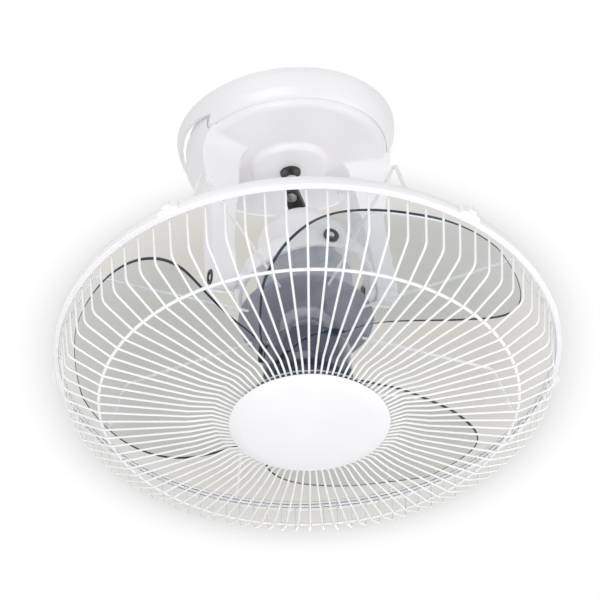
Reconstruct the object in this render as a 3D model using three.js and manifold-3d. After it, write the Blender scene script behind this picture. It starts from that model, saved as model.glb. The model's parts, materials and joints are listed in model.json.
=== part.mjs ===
// Orbital ceiling fan: a guarded three-blade fan head hung in a gimbal under a ceiling canopy.
// Millimetres, +Z up. The origin is the centre of the ceiling face. The yoke's arms lie on X.
// The head is modelled along its own axis: "ahead" is the distance from the gimbal's centre
// towards the front guard, so a point ahead of the centre has a negative local z.
import * as THREE from 'three';
import Module from 'manifold-3d';
import { mergeVertices } from 'three/addons/utils/BufferGeometryUtils.js';

const wasm = await Module();
wasm.setup();

// ---------------------------------------------------------------- driving dimensions
const SEAT_GAP = 0.3;           // between fixed pieces that touch
const RUNNING_GAP = 0.35;       // round pins and shafts, on the radius

const CANOPY_RADIUS = 112;
const CANOPY_HEIGHT = 27;       // ceiling to the canopy's lower lip
const CEILING_GAP = 0.5;        // the mouldings stop just short of the ceiling
const DRUM_RADIUS = 100;        // body of the yoke, under the canopy ring
const DRUM_DEPTH = 33;          // ceiling to the drum's underside
const DRUM_WALL = 3.2;
const BOSS_RADIUS = 41;         // round boss in the middle of the drum's underside
const BOSS_DEPTH = 6;
const PLATE_THICKNESS = 2.5;

const GIMBAL_DROP = 170;        // ceiling to the gimbal's centre
const ARM_INNER = 72;           // inner face of each arm, from the axis
const ARM_OUTER = 94;           // outer face at the pivot
const ARM_HALF_WIDTH = 13;      // at the pivot
const ARM_ROOT_HALF_WIDTH = 22;
const SHOULDER_RADIUS = 104;    // the arms' roots swell out to this through the canopy's side
const SHOULDER_HALF_WIDTH = 50;
const SHOULDER_TOP = -13;       // crown of the shoulder's arch
const ARM_STRAIGHT = -108;      // the arms' sides run straight below this height
const ARM_SPREAD_ABOVE = -60;   // above this height the arms widen away from the axis
const PIVOT_RADIUS = 4;
const BUSH_RADIUS = 6.2;
const RING_OUTER = 66;          // gimbal ring
const RING_WALL = 4.5;
const RING_HEIGHT = 18;

const TILT = 18.4;              // lean of the head's axis from the vertical, set by the crank
const ORBIT_PHASE = -128.2;     // compass direction that the front leans towards at rest
const BALL_HEIGHT = 122;        // gimbal centre to the crank's ball
const BALL_RADIUS = 6;
const BALL_CLEARANCE = 0.8;     // ball to the dished socket over it

const MOTOR_RADIUS = 45.5;
const MOTOR_WALL = 2.5;
const MOTOR_SPLIT = -10;        // ahead: joint between the two motor covers
const MOTOR_REAR = -81.5;
const MOTOR_NOSE = 57;
const SHAFT_RADIUS = 4;
const BEARING_RADIUS = 11;
const BEARING_WIDTH = 7;

const GUARD_RADIUS = 215;       // outside of the rim band
const SPOKES = 90;
const SPOKE_RADIUS = 1.15;
const RING_WIRE_RADIUS = 1.5;
const RIM_AHEAD = 110;          // middle of the rim band
const CORNER_RADIUS = 201;      // the spokes' outer bend
const CORNER_AHEAD = 145;
const MIDDLE_RING_RADIUS = 172;
const MIDDLE_RING_AHEAD = 157.5;
const BADGE_RADIUS = 67;
const BADGE_AHEAD = 168;
const REAR_WIRES = 8;
const REAR_WIRE_RADIUS = 1.4;
const REAR_CORNER_RADIUS = 193;
const REAR_AHEAD = 49.5;        // plane of the rear wires

const BLADES = 3;
const HUB_RADIUS = 39;
const HUB_REAR = 84;
const HUB_FRONT = 127;
const BLADE_TIP = 199;
const BLADE_THICKNESS = 1.8;
const BLADE_DEPTH = 46;         // along the axis, in the blade's middle

// Corners of a full circle: large mouldings, middling and small parts, and bores.
const LARGE = 40;
const MIDDLING = 20;
const SMALL = 12;
const BORE = 10;

const VIEW_PHASE = -109;        // head angle of the guard's highest point at rest
const SPOKE_PHASE = VIEW_PHASE - 2;
const REAR_WIRE_PHASE = VIEW_PHASE + 19;
const BLADE_PHASE = VIEW_PHASE + 30;
const CLIP_PHASE = VIEW_PHASE - 29;

// ---------------------------------------------------------------- finishes
const finish = (color, roughness, metalness = 0, opacity = 1) =>
  new THREE.MeshStandardMaterial({ color, roughness, metalness, opacity, transparent: opacity < 1 });
const WHITE_PLASTIC = finish(0xf2f1f1, 0.4);
const WHITE_WIRE = finish(0xf4f4f4, 0.35);
const BLACK_PLASTIC = finish(0x23252a, 0.5);
const BRIGHT_STEEL = finish(0xb9bcc0, 0.3, 1);
const ZINC = finish(0xa5a9ad, 0.45, 1);
const BRASS = finish(0xb08d4a, 0.4, 1);
const COPPER = finish(0xb06a3a, 0.45, 0.8);
const SILICON_STEEL = finish(0x6d7075, 0.5, 0.9);
const TINTED = finish(0xa9b7b6, 0.15, 0, 0.55);
const DARK_TINTED = finish(0x2d3a4c, 0.2);

// ---------------------------------------------------------------- geometry helpers
const DEG = Math.PI / 180;
const polar = (radius, degrees) => [radius * Math.cos(degrees * DEG), radius * Math.sin(degrees * DEG)];

// A closed, outward-facing solid from any closed three.js geometry.
function solid(geometry) {
  const bare = geometry.clone();
  for (const name of ['normal', 'uv', 'uv1']) bare.deleteAttribute(name);
  const merged = mergeVertices(bare, 1e-4);
  const at = merged.attributes.position.array;
  const corners = [];
  let volume = 0;
  for (let i = 0; i < merged.index.count; i += 3) {
    const [a, b, c] = [0, 1, 2].map((k) => merged.index.getX(i + k));
    if (a === b || b === c || c === a) continue;
    corners.push(a, b, c);
    const [p, q, r] = [a, b, c].map((k) => new THREE.Vector3().fromArray(at, 3 * k));
    volume += p.dot(q.cross(r));
  }
  if (volume < 0) corners.reverse();
  return new wasm.Manifold(new wasm.Mesh({
    numProp: 3, vertProperties: new Float32Array(at), triVerts: new Uint32Array(corners),
  }));
}

const join = (...solids) => wasm.Manifold.union(solids.flat());
const cut = (body, ...tools) => tools.flat().reduce((left, tool) => left.subtract(tool), body);

function geometryOf(body) {
  const mesh = body.getMesh();
  const geometry = new THREE.BufferGeometry();
  geometry.setAttribute('position', new THREE.BufferAttribute(Float32Array.from(mesh.vertProperties), 3));
  geometry.setIndex(new THREE.BufferAttribute(Uint32Array.from(mesh.triVerts), 1));
  geometry.computeVertexNormals();
  return geometry;
}

function piece(group, name, body, material) {
  const mesh = new THREE.Mesh(geometryOf(body), material);
  mesh.name = name;
  group.add(mesh);
  return mesh;
}

// Revolve [radius, height] points about Z. The profile is closed here unless it meets the axis.
function turned(profile, segments = MIDDLING) {
  const points = profile.map(([r, z]) => new THREE.Vector2(r, z));
  const onAxis = profile[0][0] === 0 && profile.at(-1)[0] === 0;
  if (!onAxis) points.push(points[0].clone());
  return solid(new THREE.LatheGeometry(points, segments).rotateX(Math.PI / 2));
}

// The same for a profile given as [radius, distance ahead of the gimbal's centre].
const turnedAhead = (profile, segments) => turned(profile.map(([r, ahead]) => [r, -ahead]), segments);

// A round bar along an axis, from one coordinate to another, set off to a centre.
function bar(radius, from, to, axis = 'z', centre = [0, 0], segments = SMALL) {
  const geometry = new THREE.CylinderGeometry(radius, radius, Math.abs(to - from), segments);
  const middle = (from + to) / 2;
  const [u, v] = centre;
  if (axis === 'z') geometry.rotateX(Math.PI / 2).translate(u, v, middle);
  if (axis === 'x') geometry.rotateZ(Math.PI / 2).translate(middle, u, v);
  if (axis === 'y') geometry.translate(u, middle, v);
  return solid(geometry);
}
const barAhead = (radius, from, to, centre, segments) => bar(radius, -from, -to, 'z', centre, segments);

function block(size, centre, turn = 0) {
  return solid(new THREE.BoxGeometry(...size).translate(...centre).rotateZ(turn * DEG));
}

function outline(points) {
  const shape = new THREE.Shape();
  shape.setFromPoints(points.map(([x, y]) => new THREE.Vector2(x, y)));
  return shape;
}

// Extrude a shape along Z between two heights.
function slab(shape, low, high, curveSegments = 12) {
  const extrude = { depth: high - low, bevelEnabled: false, curveSegments };
  return solid(new THREE.ExtrudeGeometry(shape, extrude).translate(0, 0, low));
}

// A wire through hand-placed points, with a ring of corners at each of them.
class BentWire extends THREE.Curve {
  constructor(points) {
    super();
    this.points = points.map((p) => new THREE.Vector3(...p));
  }
  getPoint(t, target = new THREE.Vector3()) {
    const along = Math.min(Math.max(t, 0), 1) * (this.points.length - 1);
    const i = Math.min(Math.floor(along), this.points.length - 2);
    return target.lerpVectors(this.points[i], this.points[i + 1], along - i);
  }
  getUtoTmapping(u) {
    return u;
  }
}

function wireGeometry(points, radius, sides) {
  const section = Array.from({ length: sides }, (_, i) => polar(radius, (360 * (i + 0.5)) / sides));
  return new THREE.ExtrudeGeometry(outline(section), {
    steps: points.length - 1, bevelEnabled: false, extrudePath: new BentWire(points),
  });
}

// A wire bent in a plane through the head's axis: [radius, ahead] points at one angle.
function radialWire(points, angle, radius, sides) {
  const path = points.map(([r, ahead]) => [r, 0, -ahead]);
  return solid(wireGeometry(path, radius, sides).rotateZ(angle * DEG));
}

function ringWire(ringRadius, ahead, wireRadius, segments, sides = 6, turn = 0) {
  const geometry = new THREE.TorusGeometry(ringRadius, wireRadius, sides, segments);
  return solid(geometry.rotateZ(turn * DEG).translate(0, 0, -ahead));
}

// ---------------------------------------------------------------- ceiling parts
const drumUnderside = -DRUM_DEPTH;
const bossUnderside = drumUnderside - BOSS_DEPTH;
const drumInside = DRUM_RADIUS - DRUM_WALL;
const BOSS_FLOOR = bossUnderside + 4;        // inside of the boss

const YOKE_SCREW = { radius: 2, height: -7, angles: [90, 210, 330], inner: drumInside - 7.8 };

function ceilingPlate() {
  const tabThickness = 2;
  const tabRadius = drumInside - 0.8 - tabThickness / 2;
  let plate = bar(tabRadius, -PLATE_THICKNESS, 0, 'z', [0, 0], LARGE);
  for (const angle of YOKE_SCREW.angles) {
    plate = join(plate, block([tabThickness, 14, 12], [tabRadius, 0, -6], angle));
  }
  const cableHole = bar(9, -4, 1, 'z', [34, 0]);
  const fixingSlots = [45, 135, 225, 315].map((angle) => block([16, 5, 8], [68, 0, 0], angle));
  return cut(plate, cableHole, fixingSlots, yokeScrewHoles(DRUM_RADIUS));
}

// A bar that points away from the axis at the yoke screws' height.
function radialBar(radius, from, to, angle, height = YOKE_SCREW.height) {
  const geometry = new THREE.CylinderGeometry(radius, radius, to - from, BORE);
  geometry.rotateZ(Math.PI / 2).translate((from + to) / 2, 0, height).rotateZ(angle * DEG);
  return solid(geometry);
}

function yokeScrewHoles(to) {
  const radius = YOKE_SCREW.radius + RUNNING_GAP;
  return YOKE_SCREW.angles.map((angle) => radialBar(radius, YOKE_SCREW.inner, to, angle));
}

function yokeScrew(angle) {
  const shank = radialBar(YOKE_SCREW.radius, YOKE_SCREW.inner, DRUM_RADIUS + 1, angle);
  const head = radialBar(3.6, DRUM_RADIUS + SEAT_GAP, DRUM_RADIUS + 2.8, angle);
  return join(shank, head);
}

// Bell round the drum, notched from below for the arms' shoulders.
function canopyRing() {
  const seat = DRUM_RADIUS + 0.4;
  const wall = 2.2;
  const bottom = -CANOPY_HEIGHT;
  const outside = [
    [CANOPY_RADIUS, -CEILING_GAP], [CANOPY_RADIUS - 2, bottom + 15], [CANOPY_RADIUS - 4.5, bottom + 8],
    [CANOPY_RADIUS - 8.5, bottom + 2.5],
  ];
  const inside = outside.map(([r, z]) => [r - wall, Math.min(z + 1, -CEILING_GAP)]).reverse();
  const bell = turned([...outside, [seat, bottom], [seat, bottom + wall], ...inside], LARGE);
  return cut(bell, [-1, 1].map((side) => armSides(side, SEAT_GAP, seat - 3, CANOPY_RADIUS + 5)));
}

const armPivotHeight = -GIMBAL_DROP;
const ARM_PIVOT = [0, armPivotHeight];       // [y, z] of the line through both arm pivots

// The arm's outline seen along X, carried from one X to another and spread like a fan from the
// axis: an arched shoulder, drawn in to a narrow arm with a round end.
function armSides(side, margin, from, to) {
  const [shoulder, root, end] =
    [SHOULDER_HALF_WIDTH, ARM_ROOT_HALF_WIDTH, ARM_HALF_WIDTH].map((width) => width + margin);
  const top = SHOULDER_TOP + margin;
  const view = new THREE.Shape();
  view.moveTo(0, top);
  view.quadraticCurveTo(0.62 * shoulder, top - 1, shoulder, top - 13);
  view.quadraticCurveTo(root + 6, drumUnderside + 1, root, drumUnderside - 13);
  view.quadraticCurveTo(end + 2, -76, end, ARM_STRAIGHT);
  view.absarc(0, armPivotHeight, end, 0, -Math.PI, true);
  view.lineTo(-end, ARM_STRAIGHT);
  view.quadraticCurveTo(-end - 2, -76, -root, drumUnderside - 13);
  view.quadraticCurveTo(-root - 6, drumUnderside + 1, -shoulder, top - 13);
  view.quadraticCurveTo(-0.62 * shoulder, top - 1, 0, top);
  const depth = to - from;
  const geometry = new THREE.ExtrudeGeometry(view, { depth, bevelEnabled: false, curveSegments: 5 });
  geometry.translate(0, 0, from).rotateX(Math.PI / 2).rotateZ(Math.PI / 2);
  const middle = (ARM_INNER + ARM_OUTER) / 2;
  const at = geometry.attributes.position;
  for (let i = 0; i < at.count; i++) {
    if (at.getZ(i) > ARM_SPREAD_ABOVE) at.setY(i, at.getY(i) * at.getX(i) / middle);
  }
  const sides = solid(geometry);
  return side > 0 ? sides : sides.rotate([0, 0, 180]);
}

// One arm: its outline seen along Y, cut by the one seen along X and by a round shoulder.
// Its inner face ends above in part of an arch that clears the crank's ball in every direction.
function yokeArm(side) {
  const bottom = armPivotHeight - ARM_HALF_WIDTH;
  const sweep = BALL_HEIGHT + BALL_RADIUS + 3;
  const start = Math.asin(ARM_INNER / sweep) / DEG;
  const end = start - 15;
  const front = new THREE.Shape();
  const top = SHOULDER_TOP + 5;                // above the crown, which the side outline cuts
  front.moveTo(SHOULDER_RADIUS + 1, top);
  front.lineTo(SHOULDER_RADIUS + 1, -28);
  front.quadraticCurveTo(ARM_OUTER + 3, -70, ARM_OUTER - 2, -92);
  front.lineTo(ARM_OUTER, -130);
  front.lineTo(ARM_OUTER, bottom);
  front.lineTo(ARM_INNER, bottom);
  front.absarc(0, armPivotHeight, sweep, (90 - start) * DEG, (90 - end) * DEG, false);
  front.lineTo(sweep * Math.sin(end * DEG), drumUnderside + 2);
  front.lineTo(drumInside + 1, drumUnderside + 2);
  front.lineTo(drumInside + 1, top);
  front.closePath();
  const depth = 3 * SHOULDER_HALF_WIDTH;
  const geometry = new THREE.ExtrudeGeometry(front, { depth, bevelEnabled: false, curveSegments: 5 });
  const across = solid(geometry.translate(0, 0, -depth / 2).rotateX(Math.PI / 2));
  const shoulder = bar(SHOULDER_RADIUS, bottom - 1, 0, 'z', [0, 0], LARGE);
  const arm = across.intersect(armSides(1, 0, 40, SHOULDER_RADIUS + 6)).intersect(shoulder);
  return side > 0 ? arm : arm.rotate([0, 0, 180]);
}

const SCREW_HEAD_RADIUS = 7;
const SCREW_HEAD_DEPTH = 4;
const headSeat = ARM_OUTER - SCREW_HEAD_DEPTH + 1 + SEAT_GAP;      // the heads stand 1 mm proud
const SOCKET_STEM = 7.5;                     // radius of the socket's stem through the boss

function yokeBody() {
  const inside = drumUnderside + DRUM_WALL;
  const shell = turned([
    [0, bossUnderside], [BOSS_RADIUS - 3, bossUnderside], [BOSS_RADIUS, drumUnderside],
    [DRUM_RADIUS - 6, drumUnderside], [DRUM_RADIUS - 1.8, drumUnderside + 1.8],
    [DRUM_RADIUS, drumUnderside + 6], [DRUM_RADIUS, -CEILING_GAP],
    [drumInside, -CEILING_GAP], [drumInside, drumUnderside + 8], [DRUM_RADIUS - 8, inside],
    [BOSS_RADIUS - 5, inside], [BOSS_RADIUS - 6, BOSS_FLOOR], [0, BOSS_FLOOR],
  ], LARGE);
  const arms = [-1, 1].map(yokeArm);
  const pivotHoles = [-1, 1].flatMap((side) => [
    bar(PIVOT_RADIUS + RUNNING_GAP, side * 60, side * 120, 'x', ARM_PIVOT),
    bar(SCREW_HEAD_RADIUS + 0.4, side * (headSeat - SEAT_GAP), side * 120, 'x', ARM_PIVOT),
  ]);
  const socketHole = bar(SOCKET_STEM + SEAT_GAP, bossUnderside - 1, 0);
  return cut(join(shell, arms), pivotHoles, socketHole, yokeScrewHoles(DRUM_RADIUS + 9));
}

// Black dish on the boss, which the crank's ball runs against. Its underside is part of a sphere
// round the gimbal's centre.
function orbitSocket() {
  const dish = BALL_HEIGHT + BALL_RADIUS + BALL_CLEARANCE;
  const dishAt = (r) => armPivotHeight + Math.sqrt(dish * dish - r * r);
  const flange = 10.5;
  return turned([
    [0, dishAt(0)], [flange, dishAt(flange)], [flange, bossUnderside - SEAT_GAP],
    [SOCKET_STEM, bossUnderside - SEAT_GAP], [SOCKET_STEM, bossUnderside + 9], [0, bossUnderside + 9],
  ], SMALL);
}

function socketClip() {
  const low = BOSS_FLOOR + SEAT_GAP;
  const inner = SOCKET_STEM + SEAT_GAP;
  return turned([[inner, low], [12, low], [12, low + 1.5], [inner, low + 1.5]], SMALL);
}

function terminalBlock() {
  const top = -PLATE_THICKNESS - SEAT_GAP;
  const body = block([44, 18, 14], [0, 48, top - 7]);
  const wells = [-12, 0, 12].map((x) => bar(2.4, top - 15, top - 9, 'z', [x, 48], 8));
  return cut(body, wells);
}

function runCapacitor() {
  const top = -PLATE_THICKNESS - SEAT_GAP;
  return join(block([38, 18, 22], [0, -50, top - 11]), block([52, 8, 2], [0, -50, top - 1]));
}

// Shoulder screw through an arm into the gimbal ring, with a cup-shaped black head.
function armScrew(side) {
  const shank = bar(PIVOT_RADIUS, side * (ringInner - 0.5), side * (headSeat + 1), 'x', ARM_PIVOT);
  const head = bar(SCREW_HEAD_RADIUS, side * headSeat, side * (headSeat + SCREW_HEAD_DEPTH), 'x', ARM_PIVOT);
  const cup = bar(4.2, side * (headSeat + 1.5), side * (headSeat + 6), 'x', ARM_PIVOT, 6);
  return cut(join(shank, head), cup);
}

// ---------------------------------------------------------------- gimbal ring
const ringInner = RING_OUTER - RING_WALL;

function gimbalRing() {
  const half = RING_HEIGHT / 2;
  const section = [[ringInner, -half], [RING_OUTER, -half], [RING_OUTER, half], [ringInner, half]];
  const band = turned(section, LARGE).rotate([0, 0, 180 / LARGE]);     // a facet faces each bore
  const bossEnd = ARM_INNER - 0.6;
  const bosses = [-1, 1].map((side) => bar(9.5, side * (ringInner + 1.5), side * bossEnd, 'x'));
  const bores = [-1, 1].flatMap((side) => [
    bar(BUSH_RADIUS + SEAT_GAP, side * 50, side * 80, 'x'),
    bar(PIVOT_RADIUS + RUNNING_GAP, side * 50, side * 80, 'y'),
  ]);
  return cut(join(band, bosses), bores);
}

function tubeAlong(axis, inner, outer, from, to) {
  return cut(bar(outer, from, to, axis), bar(inner, from - 1, to + 1, axis));
}

function ringBush(side) {
  const [from, to] = side > 0 ? [ringInner + 1, ARM_INNER - 0.7] : [-ARM_INNER + 0.7, -ringInner - 1];
  return tubeAlong('x', PIVOT_RADIUS + RUNNING_GAP, BUSH_RADIUS, from, to);
}

const LUG_END = ringInner - 1.3;

function headScrew(side) {
  const shank = bar(PIVOT_RADIUS, side * (MOTOR_RADIUS + 2), side * (RING_OUTER + 1), 'y');
  const head = bar(SCREW_HEAD_RADIUS, side * (RING_OUTER + SEAT_GAP), side * (RING_OUTER + 3), 'y');
  const cup = bar(4.2, side * (RING_OUTER + 1.5), side * (RING_OUTER + 5), 'y', [0, 0], 6);
  return cut(join(shank, head), cup);
}

// ---------------------------------------------------------------- motor
function motorFrontCover() {
  const inner = MOTOR_RADIUS - MOTOR_WALL;
  const pocket = BEARING_RADIUS + SEAT_GAP;
  const shell = turnedAhead([
    [MOTOR_RADIUS, MOTOR_SPLIT], [MOTOR_RADIUS, 22], [MOTOR_RADIUS - 3, 32], [31, 44], [14, 45.5],
    [14, MOTOR_NOSE], [SHAFT_RADIUS + 1, MOTOR_NOSE], [SHAFT_RADIUS + 1, 53.3], [pocket, 53.3],
    [pocket, 42], [30, 41], [inner - 3, 31], [inner, 21], [inner, MOTOR_SPLIT],
  ], MIDDLING);
  const lugs = [-1, 1].map((side) => bar(8.5, side * (inner + 0.4), side * LUG_END, 'y'));
  const lugBores = [-1, 1].map((side) =>
    bar(BUSH_RADIUS + SEAT_GAP, side * (MOTOR_RADIUS + 0.5), side * (RING_OUTER + 4), 'y'));
  const vents = Array.from({ length: 10 }, (_, i) => barAhead(3.8, 24, 50, polar(36, 36 * i), 6));
  return cut(join(shell, lugs), lugBores, vents);
}

function lugBush(side) {
  const [from, to] = side > 0 ? [MOTOR_RADIUS + 0.8, LUG_END - 0.1] : [-LUG_END + 0.1, -MOTOR_RADIUS - 0.8];
  return tubeAlong('y', PIVOT_RADIUS + RUNNING_GAP, BUSH_RADIUS, from, to);
}

function motorRearCover() {
  const inner = MOTOR_RADIUS - MOTOR_WALL;
  const front = MOTOR_SPLIT - SEAT_GAP;
  const shell = turnedAhead([
    [MOTOR_RADIUS, front], [MOTOR_RADIUS, -54], [42.5, -64], [35.5, -73.5], [24, -80],
    [6, MOTOR_REAR], [6, MOTOR_REAR + 2.5], [23, -77.5], [33.5, -71.5], [40.2, -63], [inner, -53.4],
    [inner, front],
  ], MIDDLING);
  const vents = Array.from({ length: 10 }, (_, i) => block([14, 4, 12], [33.5, 0, 78], 36 * i + 9));
  return cut(shell, vents);
}

const STATOR = {
  radius: MOTOR_RADIUS - MOTOR_WALL - 0.4, bore: 20.6, slot: 34, rear: -38, front: 6, teeth: 8,
};

function statorCore() {
  const core = new THREE.Shape();
  core.absarc(0, 0, STATOR.radius, 0, 2 * Math.PI, false);
  const bore = [];
  const half = 180 / STATOR.teeth;
  for (let i = 0; i < STATOR.teeth; i++) {
    const middle = 2 * half * i;
    for (const [radius, from, to] of [[STATOR.bore, -0.5, 0.5], [STATOR.slot, 0.5, 1.5]]) {
      for (let k = 0; k <= 2; k++) bore.push(polar(radius, middle + half * (from + ((to - from) * k) / 2)));
    }
  }
  core.holes.push(new THREE.Path().setFromPoints(bore.map(([x, y]) => new THREE.Vector2(x, y))));
  return slab(core, -STATOR.front, -STATOR.rear, 10);
}

// Two end turns joined by the conductors in the slots.
function statorWindings() {
  const endTurn = (near, far) => turnedAhead([
    [STATOR.bore + 2.5, near], [STATOR.slot - 1, near], [STATOR.slot + 2, (near + far) / 2],
    [STATOR.slot - 1, far], [STATOR.bore + 4, far],
  ], SMALL);
  const half = 180 / STATOR.teeth;
  const [inner, outer] = [STATOR.bore + 2.6, STATOR.slot - 0.8];
  const conductors = Array.from({ length: STATOR.teeth }, (_, i) => {
    const middle = 2 * half * (i + 0.5);
    const corners = [[inner, -0.4], [outer, -0.42], [outer, 0.42], [inner, 0.4]];
    const section = outline(corners.map(([radius, share]) => polar(radius, middle + share * half)));
    return slab(section, -STATOR.front - 3, -STATOR.rear + 3);
  });
  const frontTurn = endTurn(STATOR.front + SEAT_GAP, STATOR.front + 10);
  return join(frontTurn, endTurn(STATOR.rear - SEAT_GAP, STATOR.rear - 10), conductors);
}

function bearingBracket() {
  const rim = MOTOR_RADIUS - MOTOR_WALL - 0.4;
  const pocket = BEARING_RADIUS + SEAT_GAP;
  const plate = turnedAhead([
    [rim, -53], [rim, -50], [14, -50], [14, -43], [pocket, -43], [pocket, -50.6], [SHAFT_RADIUS + 1, -50.6],
    [SHAFT_RADIUS + 1, -53],
  ], MIDDLING);
  const posts = [0, 180].map((angle) => barAhead(4, -56.7, -52, polar(18, angle), 12));
  return join(plate, posts);
}

function bearing(from) {
  const inner = SHAFT_RADIUS + SEAT_GAP;
  const to = from + BEARING_WIDTH;
  return turnedAhead([[inner, from], [BEARING_RADIUS, from], [BEARING_RADIUS, to], [inner, to]], SMALL);
}

const CRANK_SHAFT_RADIUS = 3.5;

function orbitMotor() {
  const can = barAhead(24, -75, -57, [0, 0], MIDDLING);
  const neck = barAhead(8, -78, -74);
  return cut(join(can, neck), barAhead(CRANK_SHAFT_RADIUS + RUNNING_GAP, -80, -66));
}

function guardPlate() {
  return turnedAhead([[14.4, 45.9], [62, 45.9], [62, 47.5], [14.4, 47.5]], 24);
}

function guardNut() {
  return turnedAhead([[14.4, 47.8], [24, 47.8], [24, 51], [18.5, 55], [14.4, 55]], MIDDLING);
}

// ---------------------------------------------------------------- guard
const RING_SEGMENTS = SPOKES / 2;
const rimRing = { radius: GUARD_RADIUS - 5, front: RIM_AHEAD + 1.75, rear: RIM_AHEAD - 1.75 };
rimRing.inner = rimRing.radius * Math.cos(Math.PI / RING_SEGMENTS) - RING_WIRE_RADIUS - SEAT_GAP;
const rimWire = (ahead) => ringWire(rimRing.radius, ahead, RING_WIRE_RADIUS, RING_SEGMENTS, 4, SPOKE_PHASE);

// Each spoke is one bent wire, made in three lengths that part at its two bends.
const spokes = (path) => Array.from({ length: SPOKES }, (_, i) =>
  radialWire(path, SPOKE_PHASE + (360 / SPOKES) * i, SPOKE_RADIUS, 3));
const corner = [CORNER_RADIUS, CORNER_AHEAD];
const middleWire = [MIDDLE_RING_RADIUS, MIDDLE_RING_AHEAD - 1.2];
const BEND_STUB = 1.5;

// A point on the slope between the two bends, at a distance from the corner.
function onSlope(distance) {
  const [dr, dw] = [middleWire[0] - corner[0], middleWire[1] - corner[1]];
  const share = distance / Math.hypot(dr, dw);
  return [corner[0] + dr * share, corner[1] + dw * share];
}

function frontGuard() {
  const hub = { radius: 63, ahead: BADGE_AHEAD - 8.1 };
  const outerEnd = MIDDLE_RING_RADIUS - RING_WIRE_RADIUS - SEAT_GAP;
  return join(spokes([
    [outerEnd, MIDDLE_RING_AHEAD], [79, MIDDLE_RING_AHEAD - 2], [hub.radius, hub.ahead],
  ]), ringWire(hub.radius, hub.ahead, RING_WIRE_RADIUS, RING_SEGMENTS, 4, SPOKE_PHASE));
}

// The middle ring with the spokes' sloping lengths, which end in it.
function middleRing() {
  return join(spokes([onSlope(BEND_STUB + SEAT_GAP / 2), middleWire]),
    ringWire(...middleWire, RING_WIRE_RADIUS, RING_SEGMENTS, 4, SPOKE_PHASE));
}

// The rim's front ring with the spokes' ends, which turn down over the guard's side.
function frontRimRing() {
  return join(spokes([
    [rimRing.radius - 1.4, rimRing.front], corner, onSlope(BEND_STUB - SEAT_GAP / 2),
  ]), rimWire(rimRing.front));
}

function rearWire(index) {
  const path = [
    [56, REAR_AHEAD], [REAR_CORNER_RADIUS - 12, REAR_AHEAD + 0.5],
    [REAR_CORNER_RADIUS - 2, REAR_AHEAD + 1.5], [REAR_CORNER_RADIUS + 1, REAR_AHEAD + 6],
    [rimRing.inner - REAR_WIRE_RADIUS, rimRing.rear + 1.2],
  ];
  return radialWire(path, REAR_WIRE_PHASE + (360 / REAR_WIRES) * index, REAR_WIRE_RADIUS, 5);
}

// Channel that clamps the two rim rings together, with its folded clips.
function rimBand() {
  const half = 4.6;
  const lip = 0.9;
  const wall = GUARD_RADIUS - 2;
  const lipInner = rimRing.radius + 0.2;
  const [rear, front] = [RIM_AHEAD - half, RIM_AHEAD + half];
  const band = turnedAhead([
    [lipInner, rear], [GUARD_RADIUS, rear], [GUARD_RADIUS, front], [lipInner, front],
    [lipInner, front - lip], [wall, front - lip], [wall, rear + lip], [lipInner, rear + lip],
  ], RING_SEGMENTS);
  const clips = Array.from({ length: 6 }, (_, i) => {
    const ear = new THREE.BoxGeometry(5, 18, 7).translate(GUARD_RADIUS + 1.2, 0, -RIM_AHEAD);
    return solid(ear.rotateZ((CLIP_PHASE + 60 * i) * DEG));
  });
  return join(band, clips);
}

function badgeDisc() {
  const edge = BADGE_RADIUS;
  const top = BADGE_AHEAD;
  const face = turnedAhead([
    [0, top], [34, top - 0.6], [58, top - 2.8], [edge, top - 6.2], [edge - 1.8, top - 6.8], [57, top - 5],
    [34, top - 2.9], [0, top - 2.3],
  ], LARGE);
  const bosses = [0, 180].map((angle) => barAhead(4, top - 12, top - 1.8, polar(30, angle), 8));
  const bores = [0, 180].map((angle) => barAhead(1.8, top - 13, top - 4, polar(30, angle), 8));
  return cut(join(face, bosses), bores);
}

const badgePlateFront = BADGE_AHEAD - 12.3;

function badgePlate() {
  const back = badgePlateFront - 1.5;
  const plate = turnedAhead([[0, back], [63, back], [63, badgePlateFront], [0, badgePlateFront]], 24);
  const holes = [0, 180].map((angle) => barAhead(1.8, back - 1, badgePlateFront + 1, polar(30, angle), 8));
  return cut(plate, holes);
}

function badgeScrew(angle) {
  const back = badgePlateFront - 1.5;
  const centre = polar(30, angle);
  const shank = barAhead(1.5, back - 1, BADGE_AHEAD - 6, centre, 8);
  return join(shank, barAhead(3, back - 2.4, back - SEAT_GAP, centre, 8));
}

// ---------------------------------------------------------------- rotor
const PIN_AHEAD = HUB_REAR + 8;
const HUB_BOSS_REAR = PIN_AHEAD + 1.8;

function rotorShaft() {
  const shaft = join(barAhead(SHAFT_RADIUS, -51.8, HUB_FRONT), barAhead(3.2, HUB_FRONT - 1, HUB_FRONT + 7));
  return cut(shaft, bar(1.5 + SEAT_GAP, -6, 6, 'y', [0, -PIN_AHEAD], 8));
}

const drivePin = () => bar(1.5, -9, 9, 'y', [0, -PIN_AHEAD], 8);

function rotorCore() {
  const inner = SHAFT_RADIUS + SEAT_GAP;
  const outer = STATOR.bore - 0.6;
  return turnedAhead([
    [inner, STATOR.rear], [outer, STATOR.rear], [outer, STATOR.front], [inner, STATOR.front],
  ], MIDDLING);
}

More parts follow.
